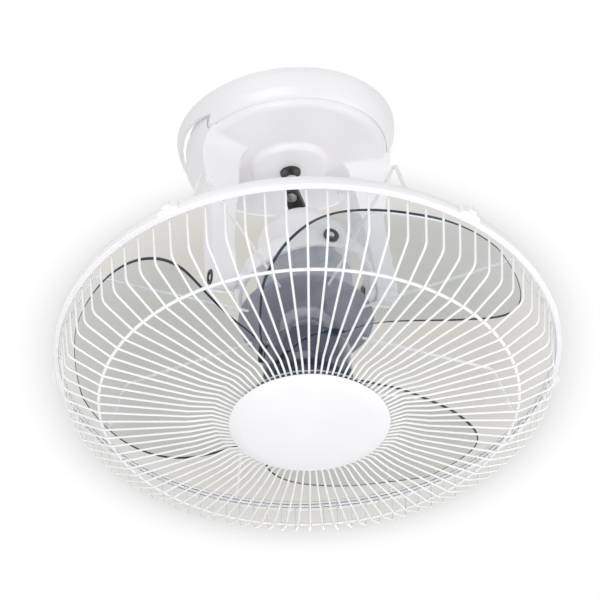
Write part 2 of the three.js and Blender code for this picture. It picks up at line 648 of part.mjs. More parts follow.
// Cup-shaped hub with a stepped nose and a central boss on the shaft.
function bladeHub() {
  const inner = HUB_RADIUS - 2.5;
  const bore = SHAFT_RADIUS + SEAT_GAP;
  return turnedAhead([
    [HUB_RADIUS, HUB_REAR], [HUB_RADIUS, HUB_FRONT - 13], [HUB_RADIUS - 5, HUB_FRONT - 8],
    [HUB_RADIUS - 11, HUB_FRONT - 6.5], [HUB_RADIUS - 11, HUB_FRONT - 2.5], [HUB_RADIUS - 23, HUB_FRONT],
    [bore, HUB_FRONT], [bore, HUB_BOSS_REAR], [10, HUB_BOSS_REAR], [10, HUB_FRONT - 6],
    [HUB_RADIUS - 14, HUB_FRONT - 10], [inner, HUB_FRONT - 15], [inner, HUB_REAR],
  ], 24);
}

// Edges of a blade as [radius, angle] in degrees from its middle line, seen from the front.
const BLADE_ROOT = HUB_RADIUS + 0.8;
const TRAILING_EDGE = [
  [BLADE_ROOT, -72], [60, -67], [100, -54], [140, -45], [172, -36], [190, -26], [BLADE_TIP, -8],
];
const LEADING_EDGE = [
  [BLADE_ROOT, 18], [60, 27], [100, 38], [140, 44], [172, 43], [190, 35], [BLADE_TIP, 15],
];
const BLADE_AHEAD = 102;                     // middle of the blades along the axis
const BLADE_CAMBER = 5;
const NARROWING = 140;                       // radius from which a blade flattens towards its tip

function edgeAngle(edge) {
  const curve = new THREE.SplineCurve(edge.map(([radius, angle]) => new THREE.Vector2(radius, angle)));
  const points = curve.getPoints(60);
  return (radius) => {
    const i = Math.max(1, points.findIndex((p) => p.x >= radius - 1e-6));
    const [a, b] = [points[i - 1], points[i]];
    return a.y + ((b.y - a.y) * (radius - a.x)) / (b.x - a.x || 1);
  };
}

// A thin box of steps bent into the blade: x runs out to the tip, z round from edge to edge.
function blade() {
  const spanSteps = 8;
  const chordSteps = 6;
  const geometry = new THREE.BoxGeometry(1, 1, 1, spanSteps, 1, chordSteps);
  const at = geometry.attributes.position;
  const [trailing, leading] = [edgeAngle(TRAILING_EDGE), edgeAngle(LEADING_EDGE)];
  for (let i = 0; i < at.count; i++) {
    const span = Math.sin((at.getX(i) + 0.5) * 90 * DEG);        // steps close up towards the tip
    const radius = BLADE_ROOT + (BLADE_TIP - BLADE_ROOT) * span;
    const chord = at.getZ(i) + 0.5;
    const angle = trailing(radius) + (leading(radius) - trailing(radius)) * chord;
    const outer = Math.max(0, (radius - NARROWING) / (BLADE_TIP - NARROWING));
    const root = Math.max(0, (60 - radius) / (60 - BLADE_ROOT));
    const depth = BLADE_DEPTH * (1 - 0.72 * outer * outer) * (1 - 0.2 * root);
    const camber = -BLADE_CAMBER * Math.sin(Math.PI * chord) * (1 - 0.6 * outer);
    const middle = BLADE_AHEAD + 3 * outer + depth * (0.5 - chord) + camber;
    const ahead = middle + at.getY(i) * BLADE_THICKNESS;
    const [x, y] = polar(radius, angle);
    at.setXYZ(i, x, y, -ahead);
  }
  return geometry;
}

function bladeNut() {
  const low = HUB_FRONT + SEAT_GAP;
  return turnedAhead([
    [0, low + 10], [9, low + 8], [13, low + 3], [13, low], [3.5, low], [3.5, low + 7], [0, low + 7],
  ], SMALL);
}

// ---------------------------------------------------------------- crank
const crankRadius = BALL_HEIGHT * Math.sin(TILT * DEG);
const ballAhead = -BALL_HEIGHT * Math.cos(TILT * DEG);
const CRANK = { rear: -97.5, front: -88.5, hub: 9.5, end: 7 };

function crankArm() {
  const web = new THREE.Shape();
  web.absarc(0, 0, CRANK.hub, Math.PI / 2, (3 * Math.PI) / 2, false);
  web.absarc(crankRadius, 0, CRANK.end, (3 * Math.PI) / 2, Math.PI / 2 + 2 * Math.PI, false);
  web.closePath();
  const arm = slab(web, -CRANK.front, -CRANK.rear, 6);
  return cut(arm, barAhead(CRANK_SHAFT_RADIUS + SEAT_GAP, -110, -80),
    barAhead(3 + SEAT_GAP, -110, -80, [crankRadius, 0], BORE));
}

const crankShaft = () => barAhead(CRANK_SHAFT_RADIUS, CRANK.rear - 0.5, -66.4);

function crankBall() {
  const centre = [crankRadius, 0];
  const stem = barAhead(3, ballAhead + 2, CRANK.front + 0.5, centre, BORE);
  const collar = barAhead(5, CRANK.rear - 2.3, CRANK.rear - SEAT_GAP, centre, BORE);
  const nut = barAhead(5, CRANK.front + SEAT_GAP, CRANK.front + 3, centre, 6);
  const ball = solid(new THREE.SphereGeometry(BALL_RADIUS, 12, 8).translate(crankRadius, 0, -ballAhead));
  return join(stem, collar, nut, ball);
}

// ---------------------------------------------------------------- assembly
const fan = new THREE.Group();

piece(fan, 'ceiling_plate', ceilingPlate(), ZINC);
piece(fan, 'canopy_ring', canopyRing(), WHITE_PLASTIC);
piece(fan, 'yoke_body', yokeBody(), WHITE_PLASTIC);
YOKE_SCREW.angles.forEach((angle, i) => piece(fan, `yoke_screw_${i + 1}`, yokeScrew(angle), BRIGHT_STEEL));
piece(fan, 'orbit_socket', orbitSocket(), BLACK_PLASTIC);
piece(fan, 'socket_clip', socketClip(), BRIGHT_STEEL);
piece(fan, 'terminal_block', terminalBlock(), WHITE_PLASTIC);
piece(fan, 'run_capacitor', runCapacitor(), BLACK_PLASTIC);
piece(fan, 'arm_screw_left', armScrew(-1), BLACK_PLASTIC);
piece(fan, 'arm_screw_right', armScrew(1), BLACK_PLASTIC);

// The direction of the front at rest gives the turn of each gimbal axis.
const [leanX, leanY] = polar(Math.sin(TILT * DEG), ORBIT_PHASE);
const front = new THREE.Vector3(leanX, leanY, -Math.cos(TILT * DEG));
const ring = new THREE.Group();
ring.position.z = -GIMBAL_DROP;
ring.rotation.x = Math.atan2(front.y, -front.z);
fan.add(ring);
piece(ring, 'gimbal_ring', gimbalRing(), WHITE_PLASTIC);
piece(ring, 'ring_bush_left', ringBush(-1), BRASS);
piece(ring, 'ring_bush_right', ringBush(1), BRASS);
piece(ring, 'head_screw_near', headScrew(-1), BLACK_PLASTIC);
piece(ring, 'head_screw_far', headScrew(1), BLACK_PLASTIC);

const head = new THREE.Group();
head.rotation.y = -Math.asin(front.x);
ring.add(head);
piece(head, 'motor_front_cover', motorFrontCover(), WHITE_PLASTIC);
piece(head, 'motor_rear_cover', motorRearCover(), WHITE_PLASTIC);
piece(head, 'lug_bush_near', lugBush(-1), BRASS);
piece(head, 'lug_bush_far', lugBush(1), BRASS);
piece(head, 'stator_core', statorCore(), SILICON_STEEL);
piece(head, 'stator_windings', statorWindings(), COPPER);
piece(head, 'bearing_bracket', bearingBracket(), ZINC);
piece(head, 'bearing_front', bearing(53 - BEARING_WIDTH), BRIGHT_STEEL);
piece(head, 'bearing_rear', bearing(-50.3), BRIGHT_STEEL);
piece(head, 'orbit_motor', orbitMotor(), ZINC);
piece(head, 'guard_plate', guardPlate(), WHITE_WIRE);
piece(head, 'guard_nut', guardNut(), BLACK_PLASTIC);
piece(head, 'front_guard', frontGuard(), WHITE_WIRE);
for (let i = 0; i < REAR_WIRES; i++) piece(head, `rear_wire_${i + 1}`, rearWire(i), WHITE_WIRE);
piece(head, 'middle_ring', middleRing(), WHITE_WIRE);
piece(head, 'front_rim_ring', frontRimRing(), WHITE_WIRE);
piece(head, 'rear_rim_ring', rimWire(rimRing.rear), WHITE_WIRE);
piece(head, 'rim_band', rimBand(), WHITE_PLASTIC);
piece(head, 'badge_disc', badgeDisc(), WHITE_PLASTIC);
piece(head, 'badge_plate', badgePlate(), ZINC);
piece(head, 'badge_screw_1', badgeScrew(0), BRIGHT_STEEL);
piece(head, 'badge_screw_2', badgeScrew(180), BRIGHT_STEEL);

const rotor = new THREE.Group();
rotor.rotation.z = BLADE_PHASE * DEG;
head.add(rotor);
piece(rotor, 'rotor_shaft', rotorShaft(), BRIGHT_STEEL);
piece(rotor, 'rotor_core', rotorCore(), SILICON_STEEL);
piece(rotor, 'drive_pin', drivePin(), BRIGHT_STEEL);
piece(rotor, 'blade_hub', bladeHub(), DARK_TINTED);
for (let i = 0; i < BLADES; i++) {
  piece(rotor, `blade_${i + 1}`, solid(blade().rotateZ((360 / BLADES) * i * DEG)), TINTED);
}
piece(rotor, 'blade_nut', bladeNut(), BLACK_PLASTIC);

// The crank points so that its ball lies straight under the socket, on the vertical through the gimbal.
const upInHead = new THREE.Vector3(0, 0, 1).applyEuler(new THREE.Euler(-ring.rotation.x, 0, 0))
  .applyEuler(new THREE.Euler(0, -head.rotation.y, 0));
const crank = new THREE.Group();
crank.rotation.z = Math.atan2(upInHead.y, upInHead.x);
head.add(crank);
piece(crank, 'crank_shaft', crankShaft(), BRIGHT_STEEL);
piece(crank, 'crank_arm', crankArm(), BLACK_PLASTIC);
piece(crank, 'crank_ball', crankBall(), BRIGHT_STEEL);

export default fan;
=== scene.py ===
"""Looks of an orbital ceiling fan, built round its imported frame.

Sizes are in millimetres and become metres by MM. The head is described along its own axis:
"ahead" is the distance from the gimbal's centre towards the front guard.
"""

import json
import math

import bmesh
import bpy
import numpy as np
from mathutils import Matrix, Vector

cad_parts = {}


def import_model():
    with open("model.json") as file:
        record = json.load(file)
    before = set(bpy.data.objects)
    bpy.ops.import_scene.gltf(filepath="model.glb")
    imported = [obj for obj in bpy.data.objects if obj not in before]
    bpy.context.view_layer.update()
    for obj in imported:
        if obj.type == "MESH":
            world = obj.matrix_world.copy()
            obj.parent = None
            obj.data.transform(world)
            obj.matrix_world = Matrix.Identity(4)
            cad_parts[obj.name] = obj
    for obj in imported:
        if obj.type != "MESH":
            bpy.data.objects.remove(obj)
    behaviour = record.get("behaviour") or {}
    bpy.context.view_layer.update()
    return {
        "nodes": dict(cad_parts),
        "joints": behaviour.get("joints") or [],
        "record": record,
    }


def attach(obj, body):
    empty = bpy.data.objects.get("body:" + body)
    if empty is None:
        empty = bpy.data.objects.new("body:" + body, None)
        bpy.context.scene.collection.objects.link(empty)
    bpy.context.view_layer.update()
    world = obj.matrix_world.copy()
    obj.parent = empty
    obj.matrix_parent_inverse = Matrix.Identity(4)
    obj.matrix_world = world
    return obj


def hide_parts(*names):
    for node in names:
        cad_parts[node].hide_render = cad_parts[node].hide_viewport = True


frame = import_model()

MM = 0.001
JOINTS = {joint["name"]: joint for joint in frame["joints"]}

# ---------------------------------------------------------------- driving sizes, as in the frame
CANOPY_RADIUS, CANOPY_HEIGHT, CANOPY_WALL, CEILING_GAP = 112, 27, 2.2, 0.5
DRUM_RADIUS, DRUM_DEPTH, DRUM_WALL = 100, 33, 3.2
BOSS_RADIUS, BOSS_DEPTH = 41, 6
GIMBAL_DROP = 170
ARM_INNER, ARM_OUTER, ARM_HALF_WIDTH, ARM_ROOT_HALF_WIDTH = 72, 94, 13, 22
SHOULDER_RADIUS, SHOULDER_HALF_WIDTH, SHOULDER_TOP = 104, 50, -13
PIVOT_RADIUS, SCREW_HEAD_RADIUS = 4, 7
RING_OUTER, RING_WALL, RING_HEIGHT = 66, 4.5, 18
BALL_HEIGHT, BALL_RADIUS, BALL_CLEARANCE = 122, 6, 0.8
MOTOR_RADIUS, MOTOR_WALL, MOTOR_SPLIT, MOTOR_REAR, MOTOR_NOSE = 45.5, 2.5, -10, -81.5, 57
GUARD_RADIUS, SPOKES, SPOKE_RADIUS, RING_WIRE_RADIUS = 215, 90, 0.9, 1.25
RIM_AHEAD, RIM_HALF_WIDTH = 110, 4.6
CORNER_RADIUS, CORNER_AHEAD = 201, 145
MIDDLE_RING_RADIUS, MIDDLE_RING_AHEAD = 172, 157.05
BADGE_RADIUS, BADGE_AHEAD = 67, 168
REAR_WIRES, REAR_WIRE_RADIUS, REAR_CORNER_RADIUS, REAR_AHEAD = 8, 1.4, 193, 49.5
BLADES, HUB_RADIUS, HUB_REAR, HUB_FRONT = 3, 39, 84, 127
BLADE_TIP, BLADE_THICKNESS, BLADE_DEPTH = 199, 1.8, 46
TILT = 18.4
VIEW_PHASE = -109
SPOKE_PHASE = VIEW_PHASE - 2
REAR_WIRE_PHASE = VIEW_PHASE + 19
BLADE_PHASE = VIEW_PHASE + 30
CLIP_PHASE = VIEW_PHASE - 29

DRUM_UNDERSIDE = -DRUM_DEPTH
BOSS_UNDERSIDE = DRUM_UNDERSIDE - BOSS_DEPTH
RIM_RING_RADIUS = GUARD_RADIUS - 5


# ---------------------------------------------------------------- places
def basis(x, y, z, origin):
    """A matrix from millimetres in a turned frame to metres in the object's frame."""
    turn = Matrix((x, y, z)).transposed().to_4x4()
    return Matrix.Translation(origin) @ turn @ Matrix.Scale(MM, 4)


def turned_by(degrees):
    """A turn about Z."""
    return Matrix.Rotation(math.radians(degrees), 4, "Z")


WORLD = Matrix.Scale(MM, 4)
CENTRE = Vector(JOINTS["ring_pitch"]["pos_m"])
REARWARD = Vector(JOINTS["rotor_spin"]["axis"]).normalized()
RING_Y = Vector(JOINTS["head_roll"]["axis"]).normalized()
HEAD_X = RING_Y.cross(REARWARD).normalized()
RING = basis(Vector((1, 0, 0)), RING_Y, Vector((1, 0, 0)).cross(RING_Y), CENTRE)
HEAD = basis(HEAD_X, REARWARD.cross(HEAD_X), REARWARD, CENTRE)
ROTOR = HEAD @ turned_by(BLADE_PHASE)
CRANK = HEAD @ turned_by(math.degrees(math.atan2(RING_Y.z, HEAD_X.z)))


def polar(radius, degrees, z=0.0):
    """A point from its radius and angle."""
    angle = math.radians(degrees)
    return Vector((radius * math.cos(angle), radius * math.sin(angle), z))


# ---------------------------------------------------------------- shape helpers
def mesh_piece(name, body, points, faces, place, material, sharp=35.0):
    """A smooth-shaded mesh whose edges stay sharp above an angle, riding on a body."""
    mesh = bpy.data.meshes.new(name)
    mesh.from_pydata([place @ Vector(p) for p in points], [], faces)
    mesh.validate()
    obj = bpy.data.objects.new(name, mesh)
    bpy.context.scene.collection.objects.link(obj)
    finish_mesh(obj, sharp)
    mesh.materials.append(material)
    if body:
        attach(obj, body)
    return obj


def finish_mesh(obj, sharp=35.0):
    """Merge doubles, turn the faces outward and shade smooth up to the sharp angle."""
    mesh = obj.data
    bm = bmesh.new()
    bm.from_mesh(mesh)
    bmesh.ops.remove_doubles(bm, verts=bm.verts, dist=1e-6)
    bmesh.ops.recalc_face_normals(bm, faces=bm.faces)
    bm.to_mesh(mesh)
    bm.free()
    mesh.shade_smooth()
    mesh.set_sharp_from_angle(angle=math.radians(sharp))


def rounded(corners, radius, steps=5):
    """A closed outline with its corners rounded. A corner is (x, y) or (x, y, its own radius)."""
    count = len(corners)
    out = []
    for i, corner in enumerate(corners):
        here = Vector(corner[:2])
        before = Vector(corners[i - 1][:2]) - here
        after = Vector(corners[(i + 1) % count][:2]) - here
        wanted = corner[2] if len(corner) > 2 else radius
        if wanted <= 0 or here.x == 0:
            out.append(here)
            continue
        bend = math.pi - before.angle(after)
        if bend < 0.05:
            out.append(here)
            continue
        reach = min(wanted * math.tan(bend / 2), 0.45 * before.length, 0.45 * after.length)
        start = here + before.normalized() * reach
        end = here + after.normalized() * reach
        for k in range(steps + 1):
            t = k / steps
            out.append(start * (1 - t) ** 2 + here * 2 * t * (1 - t) + end * t**2)
    return [(p.x, p.y) for p in out]


def lathe(profile, segments=128):
    """Points and faces of a closed [radius, height] outline turned about Z."""
    points, rows = [], []
    for radius, height in profile:
        if radius < 1e-6:
            rows.append([len(points)] * segments)
            points.append((0, 0, height))
        else:
            rows.append(list(range(len(points), len(points) + segments)))
            points.extend(polar(radius, 360 * k / segments, height) for k in range(segments))
    faces = []
    for i, row in enumerate(rows):
        other = rows[(i + 1) % len(rows)]
        if row[0] == row[1] and other[0] == other[1]:
            continue
        for k in range(segments):
            quad = (row[k], row[(k + 1) % segments], other[(k + 1) % segments], other[k])
            faces.append(tuple(dict.fromkeys(quad)))
    return points, faces


def ahead(profile):
    """Turn [radius, ahead] corners into [radius, height] in the head's frame."""
    return [(corner[0], -corner[1], *corner[2:]) for corner in profile]


def smooth_path(corners, radius, steps=6):
    """Points along a bent wire: straight runs with a round bend at each inner corner."""
    out = [Vector(corners[0])]
    for before, here, after in zip(corners, corners[1:], corners[2:]):
        here = Vector(here)
        back, on = Vector(before) - here, Vector(after) - here
        bend = math.pi - back.angle(on)
        reach = min(radius * math.tan(bend / 2), 0.45 * back.length, 0.45 * on.length)
        start, end = here + back.normalized() * reach, here + on.normalized() * reach
        for k in range(steps + 1):
            t = k / steps
            out.append(start * (1 - t) ** 2 + here * 2 * t * (1 - t) + end * t**2)
    out.append(Vector(corners[-1]))
    return out


def wire(path, radius, sides=10, closed=False):
    """Points and faces of a round wire along a path, its open ends domed."""
    count = len(path)
    tangents = []
    for i in range(count):
        if closed:
            step = path[(i + 1) % count] - path[i - 1]
        else:
            step = path[min(i + 1, count - 1)] - path[max(i - 1, 0)]
        tangents.append(step.normalized())
    side = tangents[0].orthogonal().normalized()
    if closed:
        side = Vector((0, 0, 1))
    sections = []
    for centre, tangent in zip(path, tangents):
        side = (side - tangent * side.dot(tangent)).normalized()
        sections.append((centre, tangent, side.copy(), radius))
    if not closed:
        first, last = sections[0], sections[-1]
        domes = [(-0.75, 0.62), (-0.4, 0.9)]
        start = [(first[0] + first[1] * radius * d, first[1], first[2], radius * s) for d, s in domes]
        end = [(last[0] - last[1] * radius * d, last[1], last[2], radius * s) for d, s in reversed(domes)]
        sections = start + sections + end
    points, faces = [], []
    for centre, tangent, across, size in sections:
        up = tangent.cross(across)
        for k in range(sides):
            turn = 2 * math.pi * k / sides
            points.append(centre + (across * math.cos(turn) + up * math.sin(turn)) * size)
    rows = len(sections)
    for i in range(rows if closed else rows - 1):
        for k in range(sides):
            a, b = i * sides, ((i + 1) % rows) * sides
            faces.append((a + k, a + (k + 1) % sides, b + (k + 1) % sides, b + k))
    if not closed:
        faces.append(tuple(range(sides)))
        faces.append(tuple(range((rows - 1) * sides, rows * sides)))
    return points, faces


def gathered(parts):
    """Several (points, faces) lists as one."""
    points, faces = [], []
    for more_points, more_faces in parts:
        offset = len(points)
        points.extend(more_points)
        faces.extend(tuple(i + offset for i in face) for face in more_faces)
    return points, faces


def prism(outline, low, high):
    """An outline in the XY plane carried up Z from low to high."""
    count = len(outline)
    points = [(x, y, z) for z in (low, high) for x, y in outline]
    faces = [tuple(range(count)), tuple(range(count, 2 * count))]
    faces += [(k, (k + 1) % count, count + (k + 1) % count, count + k) for k in range(count)]
    return points, faces


def tool(points, faces, place):
    """A bare solid for a boolean."""
    mesh = bpy.data.meshes.new("tool")
    mesh.from_pydata([place @ Vector(p) for p in points], [], faces)
    obj = bpy.data.objects.new("tool", mesh)
    bpy.context.scene.collection.objects.link(obj)
    bm = bmesh.new()
    bm.from_mesh(mesh)
    bmesh.ops.recalc_face_normals(bm, faces=bm.faces)
    bm.to_mesh(mesh)
    bm.free()
    return obj


def rod(radius, start, end, sides=48):
    """A plain round cutter between two points."""
    start, end = Vector(start), Vector(end)
    along = (end - start).normalized()
    across = along.orthogonal().normalized()
    up = along.cross(across)
    turns = np.linspace(0, 2 * math.pi, sides, endpoint=False)
    ring = [across * math.cos(t) + up * math.sin(t) for t in turns]
    points = [p + r * radius for p in (start, end) for r in ring]
    faces = [tuple(range(sides)), tuple(range(sides, 2 * sides))]
    faces += [(k, (k + 1) % sides, sides + (k + 1) % sides, sides + k) for k in range(sides)]
    return points, faces


def apply_modifiers(obj):
    """Bake the modifier stack into the mesh."""
    graph = bpy.context.evaluated_depsgraph_get()
    baked = bpy.data.meshes.new_from_object(obj.evaluated_get(graph))
    old = obj.data
    obj.modifiers.clear()
    obj.data = baked
    bpy.data.meshes.remove(old)


def combine(base, others, operation):
    """Union, difference or intersection of a solid with others, which are used up."""
    for other in others:
        modifier = base.modifiers.new("combine", "BOOLEAN")
        modifier.operation = operation
        modifier.solver = "MANIFOLD"
        modifier.object = other
        apply_modifiers(base)
        bpy.data.objects.remove(other)
    return base


def as_moulded(obj, voxel, rounds):
    """Remesh a joined solid and relax it, which rounds its edges as a moulding's are."""
    remesh = obj.modifiers.new("remesh", "REMESH")
    remesh.mode = "VOXEL"
    remesh.voxel_size = voxel * MM
    apply_modifiers(obj)
    relax = obj.modifiers.new("relax", "SMOOTH")
    relax.factor = 0.5
    relax.iterations = rounds
    apply_modifiers(obj)
    return obj


# ---------------------------------------------------------------- materials
class Nodes:
    """A short way to lay out a material's nodes."""

    def __init__(self, name):
        self.material = bpy.data.materials.new(name)
        self.material.use_nodes = True
        self.tree = self.material.node_tree
        self.shader = self.tree.nodes["Principled BSDF"]
        self.output = self.tree.nodes["Material Output"]

    def add(self, kind, **inputs):
        node = self.tree.nodes.new(kind)
        for key, value in inputs.items():
            socket = node.inputs[key.replace("_", " ")]
            if isinstance(value, bpy.types.NodeSocket):
                self.tree.links.new(value, socket)
            else:
                socket.default_value = value
        return node

    def link(self, start, end):
        self.tree.links.new(start, end)

    def place(self):
        return self.add("ShaderNodeTexCoord").outputs["Object"]

    def noise(self, scale, detail=3.0, roughness=0.5, vector=None):
        node = self.add("ShaderNodeTexNoise", Scale=scale, Detail=detail, Roughness=roughness)
        self.link(vector or self.place(), node.inputs["Vector"])
        return node.outputs["Fac"]

    def spread(self, value, low, high):
        node = self.add("ShaderNodeMapRange", Value=value, To_Min=low, To_Max=high)
        return node.outputs["Result"]

    def ramp(self, value, dark, light, start=0.0, end=1.0):
        node = self.add("ShaderNodeValToRGB", Fac=value)
        node.color_ramp.elements[0].color = (*dark, 1)
        node.color_ramp.elements[0].position = start
        node.color_ramp.elements[1].color = (*light, 1)
        node.color_ramp.elements[1].position = end
        return node.outputs["Color"]

    def bump(self, height, strength, distance=0.0002):
        node = self.add("ShaderNodeBump", Strength=strength, Distance=distance, Height=height)
        self.link(node.outputs["Normal"], self.shader.inputs["Normal"])

    def set(self, **inputs):
        for key, value in inputs.items():
            socket = self.shader.inputs[key.replace("_", " ")]
            if isinstance(value, bpy.types.NodeSocket):
                self.link(value, socket)
            else:
                socket.default_value = value


def white_plastic():
    """Glossy white moulding, a little uneven."""
    n = Nodes("white_plastic")
    mottle = n.noise(9, 4)
    grime = n.noise(55, 5, 0.6)
    n.set(
        Base_Color=n.ramp(mottle, (0.9, 0.885, 0.905), (0.94, 0.925, 0.945), 0.35, 0.65),
        Roughness=n.spread(grime, 0.3, 0.42),
        IOR=1.5,
    )
    n.bump(n.noise(1400, 2), 0.06, 0.00005)
    return n.material


def cool_grey(name, low, high):
    """Cool greys for the pieces behind the hub: painted shade on the white front bell and guard plate, grey
    copies of their white finishes for the shade they sit in; the black guard nut is shown mid grey.
    """
    n = Nodes(name)
    n.set(
        Base_Color=n.ramp(n.noise(12, 4), low, high, 0.35, 0.65),
        Roughness=n.spread(n.noise(55, 5, 0.6), 0.32, 0.45),
        IOR=1.5,
    )
    n.bump(n.noise(1400, 2), 0.06, 0.00005)
    return n.material


def white_coat():
    """Powder coat on the wires: a touch of orange peel."""
    n = Nodes("white_coat")
    n.set(
        Base_Color=n.ramp(n.noise(14, 3), (0.91, 0.91, 0.915), (0.95, 0.95, 0.95), 0.3, 0.7),
        Roughness=n.spread(n.noise(80, 3), 0.25, 0.4),
        IOR=1.5,
    )
    n.bump(n.noise(900, 2), 0.12, 0.0001)
    return n.material


def black_plastic():
    """Moulded black nylon."""
    n = Nodes("black_plastic")
    n.set(
        Base_Color=n.ramp(n.noise(60, 4), (0.016, 0.017, 0.016), (0.035, 0.037, 0.033), 0.3, 0.7),
        Roughness=n.spread(n.noise(160, 3), 0.38, 0.55),
        IOR=1.5,
    )
    n.bump(n.noise(1800, 2), 0.15, 0.00008)
    return n.material


def bright_steel():
    """Turned and plated steel."""
    n = Nodes("bright_steel")
    n.set(
        Base_Color=n.ramp(n.noise(120, 4), (0.5, 0.51, 0.53), (0.66, 0.67, 0.69), 0.3, 0.7),
        Roughness=n.spread(n.noise(700, 3), 0.2, 0.36),
        Metallic=1.0,
    )
    n.bump(n.noise(2500, 2), 0.1, 0.00005)
    return n.material


def zinc_plate():
    """Dull plating with a faint spangle."""
    n = Nodes("zinc_plate")
    cells = n.add("ShaderNodeTexVoronoi", Scale=160)
    n.link(n.place(), cells.inputs["Vector"])
    n.set(
        Base_Color=n.ramp(cells.outputs["Distance"], (0.42, 0.44, 0.47), (0.6, 0.62, 0.64), 0.1, 0.7),
        Roughness=n.spread(n.noise(90, 3), 0.35, 0.55),
        Metallic=1.0,
    )
    n.bump(cells.outputs["Distance"], 0.1, 0.00008)
    return n.material


def bronze():
    """Sintered bronze of the bushes."""
    n = Nodes("bronze")
    n.set(
        Base_Color=n.ramp(n.noise(500, 4), (0.36, 0.22, 0.09), (0.58, 0.4, 0.18), 0.3, 0.7),
        Roughness=n.spread(n.noise(900, 2), 0.35, 0.5),
        Metallic=1.0,
    )
    n.bump(n.noise(3000, 2), 0.2, 0.00005)
    return n.material


def copper_wire():
    """Windings: fine strands across the bundle under varnish."""
    n = Nodes("copper_wire")
    bands = n.add("ShaderNodeTexWave", Scale=300, Distortion=3, Detail=2)
    n.link(n.place(), bands.inputs["Vector"])
    n.set(
        Base_Color=n.ramp(bands.outputs["Fac"], (0.24, 0.07, 0.02), (0.6, 0.25, 0.1)),
        Roughness=n.spread(n.noise(300, 2), 0.25, 0.4),
        Metallic=0.8,
    )
    n.bump(bands.outputs["Fac"], 0.5, 0.0003)
    return n.material


def laminated_steel():
    """Thin stamped sheets stacked along the motor's axis."""
    n = Nodes("laminated_steel")
    along = n.add("ShaderNodeVectorMath")
    along.operation = "DOT_PRODUCT"
    along.inputs[1].default_value = REARWARD
    n.link(n.place(), along.inputs[0])
    sheets = n.add("ShaderNodeTexWave", Scale=320)
    joined = n.add("ShaderNodeCombineXYZ")
    n.link(along.outputs["Value"], joined.inputs["X"])
    n.link(joined.outputs["Vector"], sheets.inputs["Vector"])
    n.set(
        Base_Color=n.ramp(sheets.outputs["Fac"], (0.13, 0.13, 0.14), (0.3, 0.3, 0.31)),
        Roughness=n.spread(n.noise(200, 3), 0.4, 0.6),
        Metallic=0.9,
    )
    n.bump(sheets.outputs["Fac"], 0.4, 0.0002)
    return n.material


def through_shadow(n, tint):
    """Let lamps through a clear plastic, as the thin blade really does."""
    path = n.add("ShaderNodeLightPath")
    open_side = n.add("ShaderNodeBsdfTransparent", Color=(*tint, 1))
    mix = n.add("ShaderNodeMixShader")
    n.link(path.outputs["Is Shadow Ray"], mix.inputs["Fac"])
    n.link(n.shader.outputs["BSDF"], mix.inputs[1])
    n.link(open_side.outputs["BSDF"], mix.inputs[2])
    n.link(mix.outputs["Shader"], n.output.inputs["Surface"])


def tinted_plastic():
    """Smoke-tinted clear plastic of the blades, with faint flow marks."""
    n = Nodes("tinted_plastic")
    flow = n.noise(22, 3, 0.5)
    n.set(
        Base_Color=n.ramp(flow, (0.785, 0.81, 0.82), (0.83, 0.855, 0.865), 0.3, 0.7),
        Roughness=n.spread(n.noise(40, 3), 0.02, 0.06),
        IOR=1.3,
        Transmission_Weight=1.0,
    )
    n.bump(n.noise(30, 2), 0.05, 0.0003)
    through_shadow(n, (0.82, 0.84, 0.84))
    return n.material


def blade_edge():
    """The blades' rims, where the tint is seen through its whole width and looks near black."""
    n = Nodes("blade_edge")
    n.set(
        Base_Color=n.ramp(n.noise(60, 3), (0.02, 0.028, 0.045), (0.05, 0.065, 0.095), 0.3, 0.7),
        Roughness=n.spread(n.noise(90, 2), 0.12, 0.22),
        IOR=1.45,
    )
    return n.material


def dark_tinted():
    """The hub, of the blades' plastic but thick and backed, so dark blue-grey."""
    n = Nodes("dark_tinted")
    n.set(
        Base_Color=n.ramp(n.noise(35, 3), (0.035, 0.05, 0.075), (0.06, 0.08, 0.115), 0.3, 0.7),
        Roughness=n.spread(n.noise(60, 3), 0.15, 0.28),
        IOR=1.5,
        Coat_Weight=0.3,
    )
    n.bump(n.noise(120, 2), 0.04, 0.0002)
    return n.material


MATERIALS = {
    "white_plastic": white_plastic(),
    "white_wire": white_coat(),
    "black_plastic": black_plastic(),
    "bright_steel": bright_steel(),
    "zinc": zinc_plate(),
    "brass": bronze(),
    "copper": copper_wire(),
    "silicon_steel": laminated_steel(),
    "tinted": tinted_plastic(),
    "dark_tinted": dark_tinted(),
}
BLADE_EDGE = blade_edge()
# painted shade: grey copies of the white front bell's and guard plate's finishes stand for the shade behind
# the hub; the black guard nut is shown mid grey
SHADED = {
    "bell": cool_grey("bell_painted_shade", (0.5, 0.515, 0.56), (0.58, 0.595, 0.64)),
    "plate": cool_grey("plate_painted_shade", (0.3, 0.31, 0.37), (0.4, 0.41, 0.47)),
    "nut": cool_grey("grey_nut", (0.48, 0.48, 0.52), (0.56, 0.56, 0.6)),
}


def refinish_frame():
    """Give every CAD node the material of its slot."""
    for part in frame["record"]["subparts"]:
        obj = frame["nodes"][part["node"]]
        obj.data.materials.clear()
        obj.data.materials.append(MATERIALS[part["material_slot"]])


def piece(name, body, shape, place, slot, *nodes, sharp=35.0):
    """A finished piece made from (points, faces) that stands for CAD nodes."""
    obj = mesh_piece(name, body, *shape, place, MATERIALS[slot], sharp)
    if nodes:
        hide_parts(*nodes)
    return obj


def moulded_piece(obj, name, body, slot, *nodes, sharp=50.0):
    """The same for a solid already made by booleans."""
    obj.name = name
    obj.data.materials.clear()
    obj.data.materials.append(MATERIALS[slot])
    finish_mesh(obj, sharp)
    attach(obj, body)
    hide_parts(*nodes)
    return obj


# ---------------------------------------------------------------- ceiling parts
def arc(centre, radius, start, end, steps):
    """Points of an arc, in degrees."""
    angles = np.linspace(math.radians(start), math.radians(end), steps + 1)
    return [(centre[0] + radius * math.cos(t), centre[1] + radius * math.sin(t)) for t in angles]


